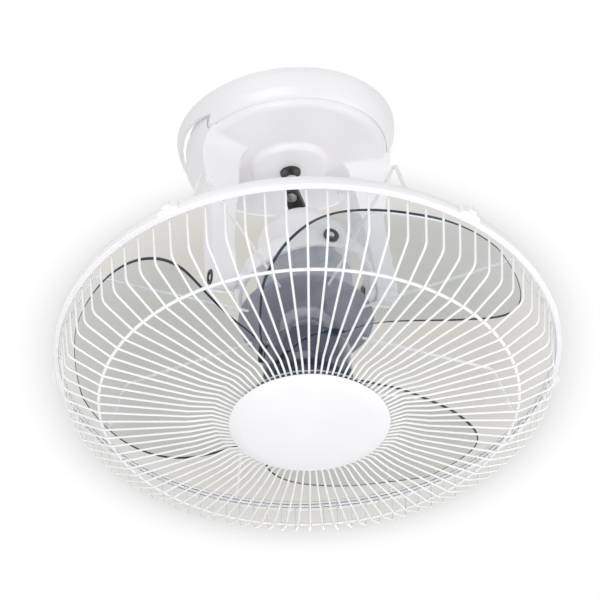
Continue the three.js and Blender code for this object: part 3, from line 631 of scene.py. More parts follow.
def bend(start, pull, end, steps=16):
    """Points of a quadratic curve."""
    start, pull, end = Vector(start), Vector(pull), Vector(end)
    steps = np.linspace(0, 1, steps + 1)
    return [tuple(start * (1 - t) ** 2 + pull * 2 * t * (1 - t) + end * t**2) for t in steps]


def arm_sides(margin, start, end):
    """The arm's outline seen along X, carried from one X to another and spread from the axis."""
    half, narrow = ARM_ROOT_HALF_WIDTH + margin, ARM_HALF_WIDTH + margin
    shoulder, top = SHOULDER_HALF_WIDTH + margin, SHOULDER_TOP + margin
    view = bend((0, top), (0.62 * shoulder, top - 1), (shoulder, top - 13))
    view += bend((shoulder, top - 13), (half + 6, DRUM_UNDERSIDE + 1), (half, DRUM_UNDERSIDE - 13))[1:]
    view += bend((half, DRUM_UNDERSIDE - 13), (narrow + 2, -76), (narrow, -108))[1:]
    view += arc((0, -GIMBAL_DROP), narrow, 0, -90, 20)
    view += [(-y, z) for y, z in reversed(view[1:-1])]
    count = len(view)
    points = []
    for x in (start, end):
        for y, z in view:
            share = min(1, max(0, (z + 80) / 35))
            points.append((x, y * (1 + (x / 83 - 1) * share), z))
    faces = [tuple(range(count)), tuple(range(count, 2 * count))]
    faces += [(k, (k + 1) % count, count + (k + 1) % count, count + k) for k in range(count)]
    return points, faces


def canopy_ring():
    """Bell round the drum, notched from below for the arms' shoulders."""
    bottom, lip = -CANOPY_HEIGHT, DRUM_RADIUS + 0.12
    outside = [(CANOPY_RADIUS, -CEILING_GAP, 0.3), (CANOPY_RADIUS - 0.5, -6, 9),
               (CANOPY_RADIUS - 2, bottom + 15, 9), (CANOPY_RADIUS - 4.5, bottom + 8, 9),
               (CANOPY_RADIUS - 8.5, bottom + 2.5, 6), (lip + 0.5, bottom, 0.3)]
    inside = [(r - CANOPY_WALL, min(z + 1.2, -CEILING_GAP), bevel) for r, z, bevel in outside[:-1]]
    corners = outside + [(lip, bottom + 0.4, 0.3), (lip, bottom + CANOPY_WALL, 0.3)] + inside[::-1]
    bell = tool(*lathe(rounded(corners, 1), 224), WORLD)
    for side in (-1, 1):
        notch = tool(*arm_sides(0.3, DRUM_RADIUS - 3, CANOPY_RADIUS + 5), WORLD)
        if side < 0:
            notch.data.transform(Matrix.Rotation(math.pi, 4, "Z"))
        combine(bell, [notch], "DIFFERENCE")
    moulded_piece(bell, "canopy_moulding", "base", "white_plastic", "canopy_ring", sharp=40)


def yoke_arm(side):
    """One arm: its front view cut by its side view, its inner face channelled for the crank's ball."""
    bottom, inner = -GIMBAL_DROP - ARM_HALF_WIDTH, DRUM_RADIUS - DRUM_WALL + 1
    front = [(SHOULDER_RADIUS + 1, -8)]
    front += bend((SHOULDER_RADIUS + 1, -28), (ARM_OUTER + 3, -70), (ARM_OUTER - 2, -92))
    front += [(ARM_OUTER, -130), (ARM_OUTER, bottom), (ARM_INNER, bottom), (ARM_INNER, -140)]
    front += bend((ARM_INNER - 11.5, -52), (ARM_INNER - 13, -36), (ARM_INNER - 26, DRUM_UNDERSIDE + 2))
    front += [(inner, DRUM_UNDERSIDE + 4), (inner, -8)]
    depth = 1.5 * SHOULDER_HALF_WIDTH
    facing_y = Matrix(((1, 0, 0, 0), (0, 0, -1, 0), (0, 1, 0, 0), (0, 0, 0, 1)))
    across = tool(*prism(front, -depth, depth), WORLD @ facing_y)
    along = tool(*arm_sides(0, 30, SHOULDER_RADIUS + 6), WORLD)
    body = tool(*rod(SHOULDER_RADIUS, (0, 0, -200), (0, 0, 0), 160), WORLD)
    arm = combine(across, [along, body], "INTERSECT")
    channel = rounded([(40, -47), (62, -47), (67.4, -58), (68, -92), (40, -92)], 4)
    combine(arm, [tool(*prism(channel, -13.4, 13.4), WORLD @ facing_y)], "DIFFERENCE")
    if side < 0:
        arm.data.transform(Matrix.Rotation(math.pi, 4, "Z"))
    return arm


def yoke_body():
    """Drum, boss and both arms as one moulding with softened edges."""
    inside = DRUM_UNDERSIDE + DRUM_WALL
    wall = DRUM_RADIUS - DRUM_WALL
    profile = [
        (0, BOSS_UNDERSIDE), (BOSS_RADIUS - 4, BOSS_UNDERSIDE, 3), (BOSS_RADIUS, DRUM_UNDERSIDE, 3),
        (DRUM_RADIUS - 6, DRUM_UNDERSIDE, 5), (DRUM_RADIUS - 1.8, DRUM_UNDERSIDE + 1.8, 5),
        (DRUM_RADIUS, DRUM_UNDERSIDE + 6, 4), (DRUM_RADIUS, -CEILING_GAP), (wall, -CEILING_GAP),
        (wall, DRUM_UNDERSIDE + 8, 3), (DRUM_RADIUS - 8, inside, 3), (BOSS_RADIUS - 5, inside),
        (BOSS_RADIUS - 6, BOSS_UNDERSIDE + 4), (0, BOSS_UNDERSIDE + 4),
    ]
    drum = tool(*lathe(rounded(profile, 0, 6), 160), WORLD)
    body = combine(drum, [yoke_arm(-1), yoke_arm(1)], "UNION")
    body = as_moulded(body, 1.0, 5)
    cutters = []
    for side in (-1, 1):
        seat = side * (ARM_OUTER - 3)
        cutters.append(rod(PIVOT_RADIUS + 0.35, (side * 60, 0, -GIMBAL_DROP), (side * 120, 0, -GIMBAL_DROP)))
        cutters.append(rod(SCREW_HEAD_RADIUS + 0.4, (seat, 0, -GIMBAL_DROP), (side * 120, 0, -GIMBAL_DROP)))
    cutters.append(rod(7.8, (0, 0, BOSS_UNDERSIDE - 1), (0, 0, 0)))
    for angle in (90, 210, 330):
        cutters.append(rod(2.35, polar(92, angle, -7), polar(109, angle, -7), 24))
    combine(body, [tool(*cutter, WORLD) for cutter in cutters], "DIFFERENCE")
    moulded_piece(body, "yoke_moulding", "base", "white_plastic", "yoke_body")


def orbit_socket():
    """Black dish on the boss, with a rolled edge."""
    dish = BALL_HEIGHT + BALL_RADIUS + BALL_CLEARANCE
    under = [(r, -GIMBAL_DROP + math.sqrt(dish * dish - r * r)) for r in (0, 3, 6, 9, 10.4)]
    top = BOSS_UNDERSIDE - 0.3
    stem = [(10.5, top, 0.3), (7.5, top), (7.5, top + 9), (0, top + 9)]
    profile = rounded([*under[:-1], (*under[-1], 0.4), *stem], 0)
    piece("socket_dish", "base", lathe(profile, 64), WORLD, "black_plastic", "orbit_socket")


def cup_screw(name, body, place, seat, shank_from, *nodes):
    """A shoulder screw along +X of its place: shank, cup-shaped black head and a bright hexagon inside."""
    head = [
        (0, shank_from), (PIVOT_RADIUS, shank_from, 0.4), (PIVOT_RADIUS, seat),
        (SCREW_HEAD_RADIUS, seat, 0.5), (SCREW_HEAD_RADIUS, seat + 4, 0.8), (4.4, seat + 4, 0.5),
        (4.2, seat + 1.5, 0.2), (0, seat + 1.5),
    ]
    along_x = Matrix(((0, 0, 1, 0), (0, 1, 0, 0), (-1, 0, 0, 0), (0, 0, 0, 1)))
    piece(name, body, lathe(rounded(head, 0), 48), place @ along_x, "black_plastic", *nodes)
    hexagon = [polar(3, 60 * k).to_2d() for k in range(6)]
    core = prism([tuple(p) for p in hexagon], seat + 1.55, seat + 3.1)
    piece(name + "_core", body, core, place @ along_x, "bright_steel", sharp=20)


# ---------------------------------------------------------------- gimbal ring
def gimbal_ring():
    """Flat band with the two bosses that turn on the arms' screws."""
    inner, half, end = RING_OUTER - RING_WALL, RING_HEIGHT / 2, ARM_INNER - 0.6
    section = rounded([(inner, -half), (RING_OUTER, -half), (RING_OUTER, half), (inner, half)], 1.4)
    band = tool(*lathe(section, 160), RING)
    bosses = [tool(*rod(9.5, (side * (inner + 1.5), 0, 0), (side * end, 0, 0)), RING) for side in (-1, 1)]
    combine(band, bosses, "UNION")
    bores = [rod(6.45, (side * 50, 0, 0), (side * 80, 0, 0)) for side in (-1, 1)]
    bores += [rod(4.35, (0, side * 50, 0), (0, side * 80, 0)) for side in (-1, 1)]
    combine(band, [tool(*bore, RING) for bore in bores], "DIFFERENCE")
    moulded_piece(band, "ring_moulding", "ring", "white_plastic", "gimbal_ring", sharp=40)


# ---------------------------------------------------------------- motor
def slot_block(size, centre, turn):
    """A block with rounded ends, as a cutter for a vent."""
    length, width, depth = size
    outline = rounded([(-length / 2, -width / 2), (length / 2, -width / 2), (length / 2, width / 2),
                       (-length / 2, width / 2)], width * 0.49)
    points, faces = prism(outline, -depth / 2, depth / 2)
    move = turned_by(turn) @ Matrix.Translation(centre)
    return [move @ Vector(p) for p in points], faces


def motor_front_cover():
    """Front bell with its two lugs and ten round holes."""
    inner = MOTOR_RADIUS - MOTOR_WALL
    profile = rounded(ahead([
        (MOTOR_RADIUS, MOTOR_SPLIT, 0.5), (MOTOR_RADIUS, 22, 10), (MOTOR_RADIUS - 3, 32, 10), (31, 44, 8),
        (14, 45.5, 1.5), (14, MOTOR_NOSE, 1), (5, MOTOR_NOSE, 0.5), (5, 53.3), (11.3, 53.3), (11.3, 42),
        (30, 41, 6), (inner - 3, 31, 8), (inner, 21, 8), (inner, MOTOR_SPLIT),
    ]), 0)
    shell = tool(*lathe(profile, 128), HEAD)
    lug_end = RING_OUTER - RING_WALL - 1.3
    lugs = [tool(*rod(8.5, (0, side * (inner + 0.4), 0), (0, side * lug_end, 0)), HEAD) for side in (-1, 1)]
    combine(shell, lugs, "UNION")
    cutters = [rod(6.45, (0, side * (MOTOR_RADIUS + 0.5), 0), (0, side * 70, 0)) for side in (-1, 1)]
    cutters += [rod(3.6, polar(36, 36 * i, -24), polar(36, 36 * i, -50), 32) for i in range(10)]
    combine(shell, [tool(*cutter, HEAD) for cutter in cutters], "DIFFERENCE")
    moulded_piece(shell, "front_bell", "head", "white_plastic", "motor_front_cover", sharp=35)
    # painted shade: the white bell takes a grey copy of its plastic for the shade behind the hub
    shell.data.materials[0] = SHADED["bell"]


def motor_rear_cover():
    """Rear dome with ten slots."""
    inner, front = MOTOR_RADIUS - MOTOR_WALL, MOTOR_SPLIT - 0.3
    profile = rounded(ahead([
        (MOTOR_RADIUS, front, 0.5), (MOTOR_RADIUS, -54, 14), (42.5, -64, 10), (35.5, -73.5, 10),
        (24, -80, 10), (6, MOTOR_REAR, 0.6), (6, MOTOR_REAR + 2.5), (23, -77.5, 8), (33.5, -71.5, 8),
        (40.2, -63, 8), (inner, -53.4, 8), (inner, front),
    ]), 0)
    shell = tool(*lathe(profile, 128), HEAD)
    vents = [tool(*slot_block((14, 4, 12), (33.5, 0, 78), 36 * i + 9), HEAD) for i in range(10)]
    combine(shell, vents, "DIFFERENCE")
    moulded_piece(shell, "rear_dome", "head", "white_plastic", "motor_rear_cover", sharp=35)


def turned_ahead(name, body, corners, place, slot, *nodes, segments=128):
    """A piece lathed about the head's axis from [radius, ahead] corners."""
    return piece(name, body, lathe(rounded(ahead(corners), 0), segments), place, slot, *nodes)


# ---------------------------------------------------------------- guard
def along_head(points):
    """[radius, ahead] points as a wire's path in the head's XZ plane."""
    return [Vector((r, 0, -w)) for r, w in points]


def fan_of(path, radius, count, phase, sides=8):
    """Copies of one wire set round the head's axis."""
    points, faces = wire(path, radius, sides)
    parts = []
    for k in range(count):
        turn = turned_by(phase + 360 / count * k)
        parts.append(([turn @ p for p in points], faces))
    return gathered(parts)


def ring_of(radius, ahead_by, wire_radius, segments=240):
    """A closed ring of wire about the head's axis."""
    path = [polar(radius, 360 * k / segments, -ahead_by) for k in range(segments)]
    return wire(path, wire_radius, 10, closed=True)


def guard():
    """Spokes, rings and rear wires."""
    rim = (RIM_AHEAD + 1.75, RIM_AHEAD - 1.75)
    path = along_head([
        (RIM_RING_RADIUS - 1.9, rim[0] + 0.2), (CORNER_RADIUS, CORNER_AHEAD),
        (MIDDLE_RING_RADIUS, MIDDLE_RING_AHEAD), (100, MIDDLE_RING_AHEAD + 0.3),
        (80, MIDDLE_RING_AHEAD - 2), (63, BADGE_AHEAD - 8.1),
    ])
    spokes = fan_of(smooth_path(path, 9, 5), SPOKE_RADIUS, SPOKES, SPOKE_PHASE)
    hub = ring_of(63, BADGE_AHEAD - 8.1, RING_WIRE_RADIUS)
    front = ring_of(RIM_RING_RADIUS, rim[0], RING_WIRE_RADIUS)
    cage = gathered([spokes, hub, front])
    piece("spoke_cage", "head", cage, HEAD, "white_wire", "front_guard", "front_rim_ring", sharp=60)
    behind = MIDDLE_RING_AHEAD - SPOKE_RADIUS - 0.3 - RING_WIRE_RADIUS
    middle = ring_of(MIDDLE_RING_RADIUS, behind, RING_WIRE_RADIUS)
    piece("middle_hoop", "head", middle, HEAD, "white_wire", "middle_ring", sharp=60)
    rear = ring_of(RIM_RING_RADIUS, rim[1], RING_WIRE_RADIUS)
    piece("rear_hoop", "head", rear, HEAD, "white_wire", "rear_rim_ring", sharp=60)
    for i in range(REAR_WIRES):
        path = along_head([
            (56, REAR_AHEAD), (REAR_CORNER_RADIUS, REAR_AHEAD + 1),
            (RIM_RING_RADIUS - 3.2, rim[1] + 1.2),
        ])
        place = HEAD @ turned_by(REAR_WIRE_PHASE + 360 / REAR_WIRES * i)
        shape = wire(smooth_path(path, 7, 8), REAR_WIRE_RADIUS, 12)
        piece(f"rear_stay_{i + 1}", "head", shape, place, "white_wire", f"rear_wire_{i + 1}", sharp=60)


def rim_band():
    """Channel that clamps the rim rings, with six folded clips."""
    lip, wall, half = RIM_RING_RADIUS + 0.2, GUARD_RADIUS - 1.6, RIM_HALF_WIDTH
    low, high = RIM_AHEAD - half, RIM_AHEAD + half
    band = lathe(rounded(ahead([
        (lip, low, 0.3), (GUARD_RADIUS - 0.4, low, 1), (GUARD_RADIUS, RIM_AHEAD, 6),
        (GUARD_RADIUS - 0.4, high, 1), (lip, high, 0.3), (lip, high - 0.9, 0.3), (wall, high - 0.9, 0.8),
        (wall, low + 0.9, 0.8), (lip, low + 0.9, 0.3),
    ]), 0), 360)
    parts = [band]
    for i in range(6):
        turn = turned_by(CLIP_PHASE + 60 * i)
        parts += [clip_part(turn, outline, low, high) for outline, low, high in (
            ([(214.2, -9), (217.4, -8), (218.3, -3), (218.3, 3), (217.4, 8), (214.2, 9)], -3.4, 3.4),
            ([(216, -4.5), (219.9, -2.6), (220.4, 0), (219.9, 2.6), (216, 4.5)], -2.2, 2.2),
        )]
    piece("rim_channel", "head", gathered(parts), HEAD, "white_plastic", "rim_band", sharp=40)


def clip_part(turn, outline, low, high):
    """One step of a clip, its outline in the plane of the rim."""
    points, faces = prism(rounded(outline, 1.2, 3), -RIM_AHEAD + low, -RIM_AHEAD + high)
    return [turn @ Vector(p) for p in points], faces


def badge():
    """Bare domed disc."""
    edge, top = BADGE_RADIUS, BADGE_AHEAD
    face = [(0, top), (18, top - 0.15), (34, top - 0.6), (47, top - 1.55, 30), (58, top - 2.8, 20),
            (edge - 1.5, top - 5, 3), (edge, top - 6.2, 1.2), (edge - 1.8, top - 6.8, 0.3), (57, top - 5, 10),
            (34, top - 2.9, 20), (0, top - 2.3)]
    turned_ahead("badge_dome", "head", face, HEAD, "white_plastic", "badge_disc", segments=192)


# ---------------------------------------------------------------- rotor
BLADE_ROOT = HUB_RADIUS + 0.8
TRAILING_EDGE = [
    (BLADE_ROOT, -72), (60, -67), (100, -54), (140, -45), (172, -36), (190, -26), (BLADE_TIP, -8),
]
LEADING_EDGE = [
    (BLADE_ROOT, 18), (60, 27), (100, 38), (140, 44), (172, 43), (190, 35), (BLADE_TIP, 15),
]
SPAN_STEPS, CHORD_STEPS, RIM_STEPS = 72, 60, 4
EDGE_FACE_AREA = 5e-6  # square metres: a larger face along the edge stays clear


def edge_curve(edge):
    """The edge's angle as a function of radius, through a smooth curve over its points."""
    knots = [edge[0], *edge, edge[-1]]
    radii, angles = [], []
    for p0, p1, p2, p3 in zip(knots, knots[1:], knots[2:], knots[3:]):
        for t in np.linspace(0, 1, 40, endpoint=False):
            for out, k in ((radii, 0), (angles, 1)):
                out.append(0.5 * (2 * p1[k] + (p2[k] - p0[k]) * t
                                  + (2 * p0[k] - 5 * p1[k] + 4 * p2[k] - p3[k]) * t**2
                                  + (3 * p1[k] - p0[k] - 3 * p2[k] + p3[k]) * t**3))
    radii.append(edge[-1][0])
    angles.append(edge[-1][1])
    return lambda radius: float(np.interp(radius, np.maximum.accumulate(radii), angles))


TRAILING, LEADING = edge_curve(TRAILING_EDGE), edge_curve(LEADING_EDGE)


def blade_middle(radius, chord):
    """A point of the blade's middle surface: chord runs from the trailing to the leading edge."""
    angle = TRAILING(radius) + (LEADING(radius) - TRAILING(radius)) * chord
    outer = max(0.0, (radius - 140) / (BLADE_TIP - 140))
    root = max(0.0, (60 - radius) / (60 - BLADE_ROOT))
    depth = BLADE_DEPTH * (1 - 0.72 * outer**2) * (1 - 0.2 * root)
    camber = -5 * math.sin(math.pi * chord) * (1 - 0.6 * outer)
    return polar(radius, angle, -(102 + 3 * outer + depth * (0.5 - chord) + camber))


def blade_grid():
    """Middle points of a blade in rows from root to tip; the rows close up towards the tip."""
    spans = np.sin(np.linspace(0, math.pi / 2, SPAN_STEPS + 1))
    chords = 0.5 - 0.5 * np.cos(np.linspace(0, math.pi, CHORD_STEPS + 1))
    chords = 0.6 * chords + 0.4 * np.linspace(0, 1, CHORD_STEPS + 1)
    return [[blade_middle(BLADE_ROOT + (BLADE_TIP - BLADE_ROOT) * span, chord) for chord in chords]
            for span in spans]


def blade(index):
    """A thin sheet with a half-round rim, dark on the rim and in a narrow strip beside it."""
    grid = blade_grid()
    rows, columns = SPAN_STEPS + 1, CHORD_STEPS + 1
    half = BLADE_THICKNESS / 2
    points, normals = [], []
    for i in range(rows):
        for k in range(columns):
            across = grid[i][min(k + 1, columns - 1)] - grid[i][max(k - 1, 0)]
            out = grid[min(i + 1, rows - 1)][k] - grid[max(i - 1, 0)][k]
            normals.append(across.cross(out).normalized())
            points.append(grid[i][k])
    border = [(0, k) for k in range(columns)] + [(i, columns - 1) for i in range(1, rows)]
    border += [(rows - 1, k) for k in range(columns - 2, -1, -1)] + [(i, 0) for i in range(rows - 2, 0, -1)]
    loop = [i * columns + k for i, k in border]
    centre = sum(points, Vector()) / len(points)
    top = [p + n * half for p, n in zip(points, normals)]
    low = [p - n * half for p, n in zip(points, normals)]
    solid = top + low
    count = len(points)
    faces = []
    for i in range(rows - 1):
        for k in range(columns - 1):
            a, b = i * columns + k, (i + 1) * columns + k
            faces.append((a, a + 1, b + 1, b))
            faces.append((count + a, count + b, count + b + 1, count + a + 1))
    clear = len(faces)
    size = len(loop)
    turns = [math.radians(90 - 180 * t / RIM_STEPS) for t in range(1, RIM_STEPS)]
    rings = [loop]
    for turn in turns:
        start = len(solid)
        for n, here in enumerate(loop):
            along = points[loop[(n + 1) % size]] - points[loop[n - 1]]
            outward = along.cross(normals[here]).normalized()
            if outward.dot(points[here] - centre) < 0:
                outward.negate()
            outward *= 0.55 * half
            solid.append(points[here] + outward * math.cos(turn) + normals[here] * half * math.sin(turn))
        rings.append(list(range(start, start + size)))
    rings.append([count + v for v in loop])
    for upper, lower in zip(rings, rings[1:]):
        for n in range(size):
            faces.append((upper[n], upper[(n + 1) % size], lower[(n + 1) % size], lower[n]))
    place = ROTOR @ turned_by(360 / BLADES * index)
    obj = mesh_piece(f"blade_sheet_{index + 1}", "rotor", solid, faces, place, MATERIALS["tinted"], 60)
    obj.data.materials.append(BLADE_EDGE)
    edge = set(loop) | {count + v for v in loop}
    for polygon in obj.data.polygons:
        beside = len(edge.intersection(polygon.vertices)) > 1 and polygon.area < EDGE_FACE_AREA
        if polygon.index >= clear or beside:
            polygon.material_index = 1
    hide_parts(f"blade_{index + 1}")


def hub():
    """Cup-shaped hub with a stepped nose."""
    inner, bore, rear = HUB_RADIUS - 2.5, 4.3, HUB_REAR + 9.8
    turned_ahead("hub_cup", "rotor", [
        (HUB_RADIUS, HUB_REAR, 0.6), (HUB_RADIUS, HUB_FRONT - 13, 2.5), (HUB_RADIUS - 5, HUB_FRONT - 8, 2),
        (HUB_RADIUS - 11, HUB_FRONT - 6.5, 1.2), (HUB_RADIUS - 11, HUB_FRONT - 2.5, 1.2),
        (HUB_RADIUS - 23, HUB_FRONT, 3), (bore, HUB_FRONT), (bore, rear), (10, rear), (10, HUB_FRONT - 6),
        (HUB_RADIUS - 14, HUB_FRONT - 10, 2), (inner, HUB_FRONT - 15, 2), (inner, HUB_REAR, 0.6),
    ], ROTOR, "dark_tinted", "blade_hub")


def blade_nut():
    """Nut that holds the hub on its shaft."""
    low = HUB_FRONT + 0.3
    turned_ahead("spinner_nut", "rotor", [
        (0, low + 10), (9, low + 8, 4), (13, low + 3, 2), (13, low, 0.5), (3.5, low), (3.5, low + 7),
        (0, low + 7),
    ], ROTOR, "black_plastic", "blade_nut", segments=64)


# ---------------------------------------------------------------- crank
def crank():
    """Web and steel pin with its ball."""
    radius = BALL_HEIGHT * math.sin(math.radians(TILT))
    ball_ahead = -BALL_HEIGHT * math.cos(math.radians(TILT))
    outline = arc((0, 0), 9.5, 90, 270, 24) + arc((radius, 0), 7, -90, 90, 24)
    web = tool(*prism(outline, 88.5, 97.5), CRANK)
    holes = [rod(3.8, (0, 0, 70), (0, 0, 110)), rod(3.3, (radius, 0, 70), (radius, 0, 110))]
    combine(web, [tool(*hole, CRANK) for hole in holes], "DIFFERENCE")
    edges = web.modifiers.new("edges", "BEVEL")
    edges.width = 0.7 * MM
    edges.segments = 3
    edges.limit_method = "ANGLE"
    apply_modifiers(web)
    moulded_piece(web, "crank_web", "crank", "black_plastic", "crank_arm", sharp=35)
    ball = [(0, -ball_ahead + BALL_RADIUS)]
    ball += [(BALL_RADIUS * math.sin(t), -ball_ahead + BALL_RADIUS * math.cos(t))
             for t in np.linspace(0.15, 2.62, 20)]
    low = -ball_ahead - 5.2
    ball += [(3, low), (3, 99.8), (5, 99.8), (5, 97.8), (3, 97.8), (3, 88.2), (5, 88.2), (5, 85.5), (0, 85.5)]
    place = CRANK @ Matrix.Translation((radius, 0, 0))
    piece("ball_pin", "crank", lathe(ball, 48), place, "bright_steel", "crank_ball", sharp=40)


refinish_frame()
canopy_ring()
yoke_body()
orbit_socket()
for side, name in ((-1, "left"), (1, "right")):
    turn = turned_by(0 if side > 0 else 180)
    pivot = WORLD @ Matrix.Translation((0, 0, -GIMBAL_DROP)) @ turn
    cup_screw(f"arm_bolt_{name}", "base", pivot, ARM_OUTER - 2.7, RING_OUTER - RING_WALL - 0.5,
              f"arm_screw_{name}")
gimbal_ring()
for turn, name in ((-90, "near"), (90, "far")):
    cup_screw(f"head_bolt_{name}", "ring", RING @ turned_by(turn), RING_OUTER + 0.3, MOTOR_RADIUS + 2,
              f"head_screw_{name}")
motor_front_cover()
motor_rear_cover()
plate = turned_ahead("guard_seat", "head", [
    (14.4, 45.9), (62, 45.9, 0.6), (62, 47.5, 0.6), (54, 47.5, 1), (51, 46.9, 1), (24, 46.9, 1),
    (21, 47.5, 1), (14.4, 47.5),
], HEAD, "white_wire", "guard_plate")
nut = turned_ahead("guard_lock", "head", [
    (14.4, 47.8), (24, 47.8, 0.8), (24, 51, 1), (18.5, 55, 1), (14.4, 55, 0.5),
], HEAD, "black_plastic", "guard_nut")
# painted shade: the white guard plate takes a grey copy of its finish for the shade behind the hub; the black
# guard nut is shown mid grey
plate.data.materials[0] = SHADED["plate"]
nut.data.materials[0] = SHADED["nut"]
guard()
rim_band()
badge()
for index in range(BLADES):
    blade(index)
hub()
blade_nut()
crank()


# ---------------------------------------------------------------- stage
# metres, and watts or strengths of light
FLOOR, FLOOR_REACH = -1.2, 6
BACKDROP_DEPTH, BACKDROP_REACH = 1.06, 0.36
TARGET = (0, 0, -0.22)
SKY_LIGHT, FLOOR_LIFT = 0.6, 0.3


def camera():
    """The photograph's own viewing angle."""
    data = bpy.data.cameras.new("camera")
    data.sensor_width = 36
    data.lens = 53.28
    data.clip_start = 0.01
    obj = bpy.data.objects.new("camera", data)
    bpy.context.scene.collection.objects.link(obj)
    forward = Vector((0.39400538, 0.80783074, 0.43837115)).normalized()
    up = Vector((-0.08120142, -0.44449252, 0.89209457))
    right = forward.cross(up).normalized()
    up = right.cross(forward)
    turn = Matrix((right, up, -forward)).transposed().to_4x4()
    obj.matrix_world = Matrix.Translation(Vector((-335.353, -673.608, -551.044)) * MM) @ turn
    bpy.context.scene.camera = obj
    return obj


def lamp(name, place, target, size, power):
    """A round soft lamp aimed at a point."""
    data = bpy.data.lights.new(name, "AREA")
    data.shape = "DISK"
    data.size = size
    data.energy = power
    obj = bpy.data.objects.new(name, data)
    bpy.context.scene.collection.objects.link(obj)
    obj.location = place
    obj.rotation_euler = (Vector(target) - Vector(place)).to_track_quat("-Z", "Y").to_euler()
    return obj


def any_ray(tree, *rays):
    """1 for a ray of any of the named kinds, or else 0."""
    path = tree.nodes.new("ShaderNodeLightPath")
    share = path.outputs[rays[0]]
    for ray in rays[1:]:
        most = tree.nodes.new("ShaderNodeMath")
        most.operation = "MAXIMUM"
        tree.links.new(share, most.inputs[0])
        tree.links.new(path.outputs[ray], most.inputs[1])
        share = most.outputs["Value"]
    return share


def world():
    """Even white light, at full strength where the background itself is seen."""
    scene_world = bpy.data.worlds.new("world")
    scene_world.use_nodes = True
    bpy.context.scene.world = scene_world
    tree = scene_world.node_tree
    plain = tree.nodes["Background"]
    plain.inputs["Color"].default_value = (1, 1, 1, 1)
    plain.inputs["Strength"].default_value = SKY_LIGHT
    seen = tree.nodes.new("ShaderNodeBackground")
    seen.inputs["Color"].default_value = (1, 1, 1, 1)
    seen.inputs["Strength"].default_value = 1.0
    mix = tree.nodes.new("ShaderNodeMixShader")
    tree.links.new(any_ray(tree, "Is Camera Ray", "Is Glossy Ray", "Is Transmission Ray"), mix.inputs["Fac"])
    tree.links.new(plain.outputs["Background"], mix.inputs[1])
    tree.links.new(seen.outputs["Background"], mix.inputs[2])
    tree.links.new(mix.outputs["Shader"], tree.nodes["World Output"].inputs["Surface"])


def seen_only(tree, surface, *rays):
    """Mix a surface with Transparent so that only the named kinds of ray meet it."""
    mix = tree.nodes.new("ShaderNodeMixShader")
    clear = tree.nodes.new("ShaderNodeBsdfTransparent")
    tree.links.new(any_ray(tree, *rays), mix.inputs["Fac"])
    tree.links.new(clear.outputs["BSDF"], mix.inputs[1])
    tree.links.new(surface, mix.inputs[2])
    return mix.outputs["Shader"]


def stage_plane(name, matrix, reach, material):
    """A square sheet of the stage, which reaches as far each way from its place."""
    mesh = bpy.data.meshes.new(name)
    corners = [(-reach, -reach, 0), (reach, -reach, 0), (reach, reach, 0), (-reach, reach, 0)]
    mesh.from_pydata(corners, [], [(0, 1, 2, 3)])
    mesh.materials.append(material)
    obj = bpy.data.objects.new(name, mesh)
    obj.matrix_world = matrix
    bpy.context.scene.collection.objects.link(obj)


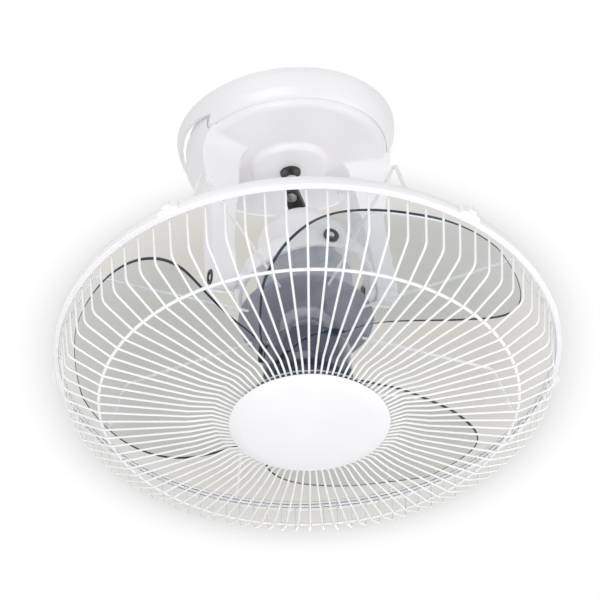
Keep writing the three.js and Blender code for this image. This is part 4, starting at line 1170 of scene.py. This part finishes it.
def backdrop(eye):
    """A painted shadow of the fan on an unlit sheet behind the guard: beige grey inside the guard's outline,
    a grey halo of shadow just beyond it, fading to white, so that its white wires stand out.
    """
    n = Nodes("backdrop_painted_shadow")
    tree = n.tree
    tree.nodes.remove(n.shader)
    reach = None
    # centre, half axes and turn of the painted shadow's two lobes on the sheet
    for centre, axes, turn in (
        ((0.0086, -0.0517), (0.3035, 0.1960), 2),
        ((0.0101, -0.0955), (0.2950, 0.1818), 2),
    ):
        local = n.add("ShaderNodeMapping", Vector=n.place())
        local.vector_type = "TEXTURE"
        local.inputs["Location"].default_value = (*centre, 0)
        local.inputs["Rotation"].default_value = (0, 0, math.radians(turn))
        local.inputs["Scale"].default_value = (*axes, 1)
        length = n.add("ShaderNodeVectorMath")
        length.operation = "LENGTH"
        n.link(local.outputs["Vector"], length.inputs[0])
        if reach is None:
            reach = length.outputs["Value"]
            continue
        least = n.add("ShaderNodeMath")
        least.operation = "SMOOTH_MIN"
        least.inputs[2].default_value = 0.1
        n.link(reach, least.inputs[0])
        n.link(length.outputs["Value"], least.inputs[1])
        reach = least.outputs["Value"]
    end = 1.2
    scaled = n.add("ShaderNodeMapRange", Value=reach, From_Max=end)
    ramp = n.add("ShaderNodeValToRGB", Fac=scaled.outputs["Result"])
    stops = ramp.color_ramp.elements
    # painted shadow: beige grey in the middle, lighter outward, a grey halo band just past the guard's
    # outline, then white
    stops[0].position, stops[0].color = 0.0, (0.60, 0.585, 0.55, 1)
    stops[1].position, stops[1].color = 1.18 / end, (1, 1, 1, 0)
    for place, colour in ((0.7, (0.635, 0.62, 0.58, 1)), (0.95, (0.73, 0.715, 0.69, 1)),
                          (1.02, (0.86, 0.86, 0.86, 1)), (1.09, (0.96, 0.96, 0.96, 1)),
                          (1.15, (1, 1, 1, 1))):
        stops.new(place / end).color = colour
    shade = n.add("ShaderNodeEmission", Color=ramp.outputs["Color"])
    facing = n.add("ShaderNodeNewGeometry")
    shown = n.add("ShaderNodeMath")
    shown.operation = "SUBTRACT"
    shown.use_clamp = True
    n.link(ramp.outputs["Alpha"], shown.inputs[0])
    n.link(facing.outputs["Backfacing"], shown.inputs[1])
    front = n.add("ShaderNodeMixShader")
    n.link(shown.outputs["Value"], front.inputs["Fac"])
    n.link(n.add("ShaderNodeBsdfTransparent").outputs["BSDF"], front.inputs[1])
    n.link(shade.outputs["Emission"], front.inputs[2])
    seen = seen_only(tree, front.outputs["Shader"], "Is Camera Ray", "Is Transmission Ray")
    n.link(seen, n.output.inputs["Surface"])
    place = eye.matrix_world @ Matrix.Translation((0, 0, -BACKDROP_DEPTH))
    stage_plane("backdrop", place, BACKDROP_REACH, n.material)


def floor():
    """Plain pale floor, lifted where the camera sees it."""
    n = Nodes("floor_paint")
    n.set(
        Base_Color=n.ramp(n.noise(3, 3), (0.86, 0.86, 0.86), (0.9, 0.9, 0.9), 0.3, 0.7),
        Roughness=n.spread(n.noise(6, 2), 0.6, 0.8),
    )
    lift = n.add("ShaderNodeMath")
    lift.operation = "MULTIPLY"
    lift.inputs[1].default_value = FLOOR_LIFT
    n.link(n.add("ShaderNodeLightPath").outputs["Is Camera Ray"], lift.inputs[0])
    n.set(Emission_Color=(1, 1, 1, 1), Emission_Strength=lift.outputs["Value"])
    stage_plane("floor", Matrix.Translation((0, 0, FLOOR)), FLOOR_REACH, n.material)


eye = camera()
world()
backdrop(eye)
floor()
lamp("key", (-0.7, -0.9, -0.7), TARGET, 0.8, 6)
lamp("fill", (0.7, -0.6, -1.0), TARGET, 1.0, 4.6)
lamp("back", (0.6, 1.3, -0.3), TARGET, 0.9, 4)
bpy.context.scene.view_settings.view_transform = "Standard"
